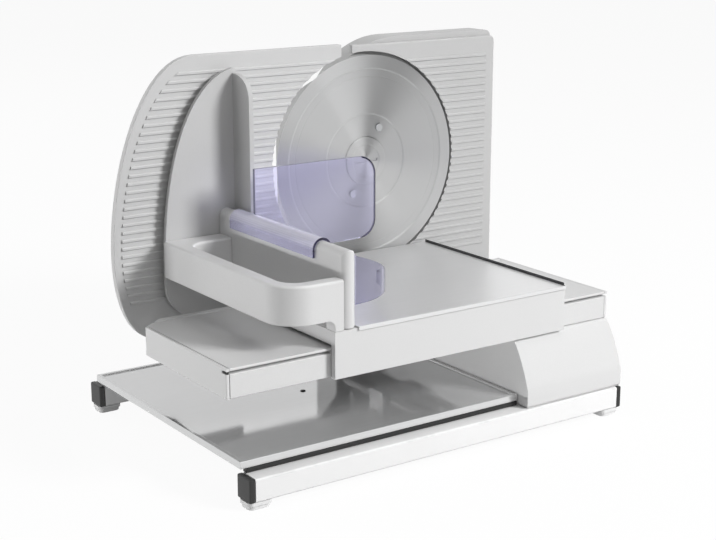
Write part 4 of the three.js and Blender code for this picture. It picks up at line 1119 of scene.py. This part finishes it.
@dataclass
class BladeUnit(SubAssembly):
    """The round blade with its hub, screws and gear."""

    axis: ClassVar[Vector] = Vector((0.05255, 0.0646, 0.1962))
    radius: float = 0.092
    bevel: float = 0.0105
    boss: float = 0.021
    flange: float = 0.041
    slot_length: float = 0.0126
    slot_width: float = 0.0012
    slot_depth: float = 0.0012
    slot_rim: float = 0.0136
    slot_level: float = 0.0011
    steps: int = 240
    hub_steps: int = 96

    def seat(self) -> Matrix:
        """The blade axis, with the pieces' own Z to the rear."""
        return Matrix.Translation(self.axis) @ Matrix.Rotation(-math.pi / 2, 4, "X")

    def disc(self) -> bpy.types.Mesh:
        """Turns the blade: a sunk middle, a gently sloping face, a turned line and the ground rim.

        Returns:
            The blade's mesh.
        """
        foot, sunk = self.radius - self.bevel, self.flange
        return as_mesh(turned([
            (self.boss + 0.0003, 0.0018), (sunk - 0.0014, 0.0018), (sunk - 0.0006, 0.0017),
            (sunk + 0.0004, 0.001), (sunk + 0.0012, 0.00085), (sunk + 0.002, 0.0008), (0.0734, 0.00015),
            (0.0736, 0.00027), (0.0741, 0.00027), (0.0743, 0.00013), (foot - 0.0023, 0.00002),
            (foot - 0.0017, -0.00006), (foot - 0.0006, -0.00072), (foot, -0.0008), (foot + 0.0005, -0.00078),
            (self.radius - 0.0006, -0.00006), (self.radius, 0.0), (self.radius - 0.0004, 0.00008),
            (foot, 0.0007), (sunk + 0.003, 0.0025), (sunk + 0.001, 0.0032), (self.boss + 0.0003, 0.0032),
            (self.boss + 0.0003, 0.0018),
        ], self.steps), "blade_mesh")

    def hub(self) -> bpy.types.Mesh:
        """Turns the hub: a ringed boss with a coin slot, its flange and its shaft.

        Returns:
            The hub's mesh.
        """
        lip, floor, steps = self.slot_rim, self.slot_level, self.hub_steps
        work = turned([
            (lip, floor), (lip + 0.0006, 0.001), (lip + 0.0012, 0.0006), (self.boss - 0.0012, 0.0006),
            (self.boss - 0.0005, 0.0008), (self.boss, 0.0014), (self.boss, 0.0035), (self.flange, 0.0035),
            (self.flange, 0.0065), (0.01, 0.0065), (0.01, 0.0305), (0.0, 0.0305),
        ], steps)
        ring = [v for v in work.verts if abs(math.hypot(v.co.x, v.co.y) - lip) < 1e-6]
        ring.sort(key=lambda v: math.atan2(v.co.y, v.co.x) % math.tau)
        half, wide = self.slot_length, self.slot_width
        corners = [(half, 0.0), (half, wide), (-half, wide), (-half, 0.0), (-half, -wide), (half, -wide)]
        brim = [work.verts.new((x, y, floor)) for x, y in corners]
        sole = [work.verts.new((x, y, floor + self.slot_depth)) for x, y in corners]
        work.faces.new(ring[:steps // 2 + 1] + [brim[3], brim[2], brim[1], brim[0]])
        work.faces.new(ring[steps // 2:] + [ring[0], brim[0], brim[5], brim[4], brim[3]])
        for k in range(len(corners)):
            after = (k + 1) % len(corners)
            work.faces.new((brim[k], brim[after], sole[after], sole[k]))
        work.faces.new(sole)
        bmesh.ops.recalc_face_normals(work, faces=work.faces)
        return as_mesh(work, "hub_mesh")

    def build(self) -> None:
        """Makes the blade, the hub, the screws and the gear."""
        self.placed("slicing_blade_finished", self.disc(), Finishes.brushed, "slicing_blade", self.seat(),
                    smooth=12.0)
        self.placed("blade_hub_finished", self.hub(), Finishes.brushed, "blade_hub", self.seat(), smooth=25.0)
        for k in (1, 2):
            self.finished(f"blade_screw_{k}", Finishes.shaft, CRISP)
        self.kept(Finishes.nylon, "blade_gear", "idler_gear")
        self.kept(Finishes.bronze, "blade_bush")
        self.kept(Finishes.shaft, "idler_axle")


@dataclass
class Tower(SubAssembly):
    """The fixed plate, the gear case and the motor cover, with the motor inside."""

    plate_round: float = 0.0024
    case_round: float = 0.0026
    lip_round: float = 0.0004
    vent_round: float = 0.0005

    def build(self) -> None:
        """Makes the tower's pieces."""
        self.finished("fixed_plate", Finishes.tower, Round(self.plate_round, 4, where=outline),
                      Round(StopGauge.rib_round, 2, where=ridge, held=False))
        self.finished("gear_case", Finishes.tower, Round(self.case_round, 4, where=outline),
                      Round(self.lip_round, 1))
        self.finished("motor_cover", Finishes.tower, Round(self.case_round, 4, where=deep(Axis.Y, 0.02)),
                      Round(self.vent_round, 1))
        for k in range(1, 5):
            self.finished(f"cover_screw_{k}", Finishes.shaft, Round(self.lip_round, 2))
        self.kept(Finishes.shaft, "motor_can", "motor_rotor", "motor_pinion")
        self.kept(Finishes.bracket, "motor_plate")


@dataclass
class Controls(SubAssembly):
    """The start and lock buttons."""

    edge_round: float = 0.0012
    bezel_gap: float = 0.0008
    bezel_width: float = 0.0019
    bezel_height: float = 0.0009
    bezel_steps: int = 64

    def bezel(self, node: str) -> None:
        """Sets a ring round a button.

        Args:
            node: the button.
        """
        low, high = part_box(node)
        inner = (high.y - low.y) / 2 + self.bezel_gap
        outer, tall = inner + self.bezel_width, self.bezel_height
        ring = turned([
            (inner, 0.0), (inner, tall * 0.7), (inner + tall * 0.3, tall), (outer - tall * 0.7, tall),
            (outer - tall * 0.2, tall * 0.75), (outer, tall * 0.3), (outer, 0.0), (inner, 0.0),
        ], self.bezel_steps)
        place = (PEDESTAL_FACE - SUNK, (low.y + high.y) / 2, (low.z + high.z) / 2)
        self.placed(node + "_ring", as_mesh(ring, node + "_ring_mesh"), Finishes.dark, "pedestal_shell",
                    to_right(place), stands=False)

    def build(self) -> None:
        """Makes the buttons with softened rims and a ring round each."""
        self.finished("start_button", Finishes.pale, Round(self.edge_round, 3))
        self.finished("lock_button", Finishes.dark, Round(self.edge_round, 3))
        for node in ("start_button", "lock_button"):
            self.bezel(node)


# Studio


@dataclass(frozen=True)
class Lamp:
    """One soft lamp: its place and size in metres, its power in watts, and if shiny surfaces show it."""

    name: str
    where: tuple[float, float, float]
    size: tuple[float, float]
    power: float
    mirrored: bool = False


@dataclass
class Studio:
    """A pale floor, soft lamps and the camera."""

    lens: float = 74.58
    sensor: float = 36.0
    clip: tuple[float, float] = (0.02, 40.0)
    eye: Vector = Vector((-0.68045, -0.9827, 0.4285))
    gaze: Vector = Vector((0.5507, 0.7963, -0.2506))
    aim: Vector = Vector((0.0, 0.0, 0.15))
    floor_reach: float = 6.0
    floor_share: float = 0.06
    world_level: float = 0.12
    drape_reach: float = 1.2
    drape_ring: float = 0.055
    drape_turns: tuple[float, float] = (89.0, 48.0)
    drape_tilts: tuple[float, ...] = (-2.0, 2.0, 6.0, 11.0, 16.0, 22.0, 28.0, 34.0, 40.0)
    lamps: tuple[Lamp, ...] = (
        Lamp("key_lamp", (1.104, -1.837, 1.338), (0.65, 0.65), 61.0),
        Lamp("fill_lamp", (-1.0, -2.2, 0.9), (1.4, 1.4), 6.0),
        Lamp("rear_lamp", (-0.9, 2.2, 1.0), (1.2, 1.2), 16.0),
        Lamp("top_lamp", (0.3, -0.5, 2.4), (1.6, 1.6), 9.0, True),
        Lamp("low_lamp", (-1.3, 0.55, 0.05), (0.6, 0.06), 9.0),
    )

    @staticmethod
    def seen(shader: Shader) -> Sock:
        """Tells the rays that show a surface to the eye.

        Args:
            shader: the tree to add to.

        Returns:
            1 on rays from the eye, a reflection or clear plastic.
        """
        eye, gloss, clear = (shader.node("ShaderNodeLightPath", None, None, f"Is {ray} Ray")
                             for ray in ("Camera", "Glossy", "Transmission"))
        return eye.top(gloss).top(clear)

    def floor(self) -> None:
        """Lays the floor, white to the eye and shaded by the machine."""
        work = bmesh.new()
        bmesh.ops.create_grid(work, x_segments=8, y_segments=8, size=self.floor_reach)
        floor = linked("studio_floor", as_mesh(work, "floor_mesh"))
        material, shader = fresh("studio_floor_paint")
        dust = shader.noise(shader.place(), 3.0, 3.0)
        seen = self.seen(shader)
        thrown = shader.mix(dust, grey(0.47), grey(0.5))
        shown = shader.mix(dust, grey(0.93), grey(0.95))
        paint = shader.node("ShaderNodeBsdfDiffuse", None, {"Color": shader.mix(seen, thrown, shown)})
        glow = shader.node("ShaderNodeEmission", None, {"Color": grey(1.0), "Strength": 1.0})
        share = seen * (1.0 - self.floor_share)
        shader.close(shader.node("ShaderNodeMixShader", None, {0: share, 1: paint, 2: glow}))
        floor.data.materials.append(material)

    def world(self) -> None:
        """Sets a white surround that lights the machine softly."""
        world = bpy.data.worlds.new("studio_air")
        bpy.context.scene.world = world
        world.use_nodes = True
        shader = Shader(world.node_tree)
        light = self.seen(shader) * (1.0 - self.world_level) + self.world_level
        sky = shader.node("ShaderNodeBackground", None, {"Color": grey(1.0), "Strength": light})
        shader.node("ShaderNodeOutputWorld", None, {"Surface": sky})

    def thrown(self, turn: float, tilt: float) -> Vector:
        """Where the eye's look goes that a ring of the blade throws back.

        Args:
            turn: the place round the blade, in degrees from its right side.
            tilt: how far the ring's flank leans outward, in degrees.

        Returns:
            A point on the way, at the drape's distance.
        """
        out = Vector((math.cos(math.radians(turn)), 0.0, math.sin(math.radians(turn))))
        point = BladeUnit.axis + out * self.drape_ring
        lean = math.radians(tilt)
        normal = out * math.sin(lean) + Vector((0.0, -math.cos(lean), 0.0))
        return point + (point - self.eye).normalized().reflect(normal) * self.drape_reach

    def drape(self) -> None:
        """Hangs a dark drape at the right that only shiny surfaces show."""
        work = bmesh.new()
        rows = [[work.verts.new(self.thrown(turn, tilt)) for turn in self.drape_turns]
                for tilt in self.drape_tilts]
        for low, high in zip(rows, rows[1:]):
            work.faces.new((low[0], low[1], high[1], high[0]))
        drape = linked("studio_drape", as_mesh(work, "drape_mesh"))
        material, shader = fresh("studio_drape_felt")
        felt = shader.noise(shader.place(), 60.0, 3.0)
        shader.surface({"Base Color": shader.mix(felt, grey(0.03), grey(0.05)), "Roughness": 0.9})
        drape.data.materials.append(material)
        drape.visible_camera = False
        drape.visible_diffuse = False
        drape.visible_transmission = False
        drape.visible_shadow = False

    def hang(self, lamp: Lamp) -> None:
        """Hangs one lamp so that it looks at the machine.

        Args:
            lamp: the lamp.
        """
        light = bpy.data.lights.new(lamp.name, "AREA")
        light.shape = "RECTANGLE"
        light.size, light.size_y = lamp.size
        light.energy = lamp.power
        holder = linked(lamp.name, light)
        holder.location = lamp.where
        holder.rotation_euler = (self.aim - Vector(lamp.where)).to_track_quat("-Z", "Y").to_euler()
        holder.visible_camera = False
        holder.visible_glossy = lamp.mirrored

    def camera(self) -> None:
        """Sets the camera at the photograph's angle."""
        data = bpy.data.cameras.new("view")
        data.lens = self.lens
        data.sensor_width = self.sensor
        data.sensor_fit = "HORIZONTAL"
        data.clip_start, data.clip_end = self.clip
        holder = linked("view", data)
        holder.location = self.eye
        holder.rotation_euler = self.gaze.to_track_quat("-Z", "Y").to_euler()
        bpy.context.scene.camera = holder

    def build(self) -> None:
        """Sets up the whole studio."""
        bpy.context.scene.view_settings.view_transform = "Standard"
        self.floor()
        self.world()
        self.drape()
        for lamp in self.lamps:
            self.hang(lamp)
        self.camera()


def main() -> None:
    """Builds every sub-assembly in order, then the studio."""
    parts: list[SubAssembly] = [BaseFrame(), SliceTray(), Pedestal(), GuideBeam(), Carriage(), Pusher(),
                                StopGauge(), ThicknessDial(), BladeUnit(), Tower(), Controls()]
    for part in parts:
        LOG.info("building %s", type(part).__name__)
        part.build()
    Studio().build()


if __name__ == "__main__":
    main()
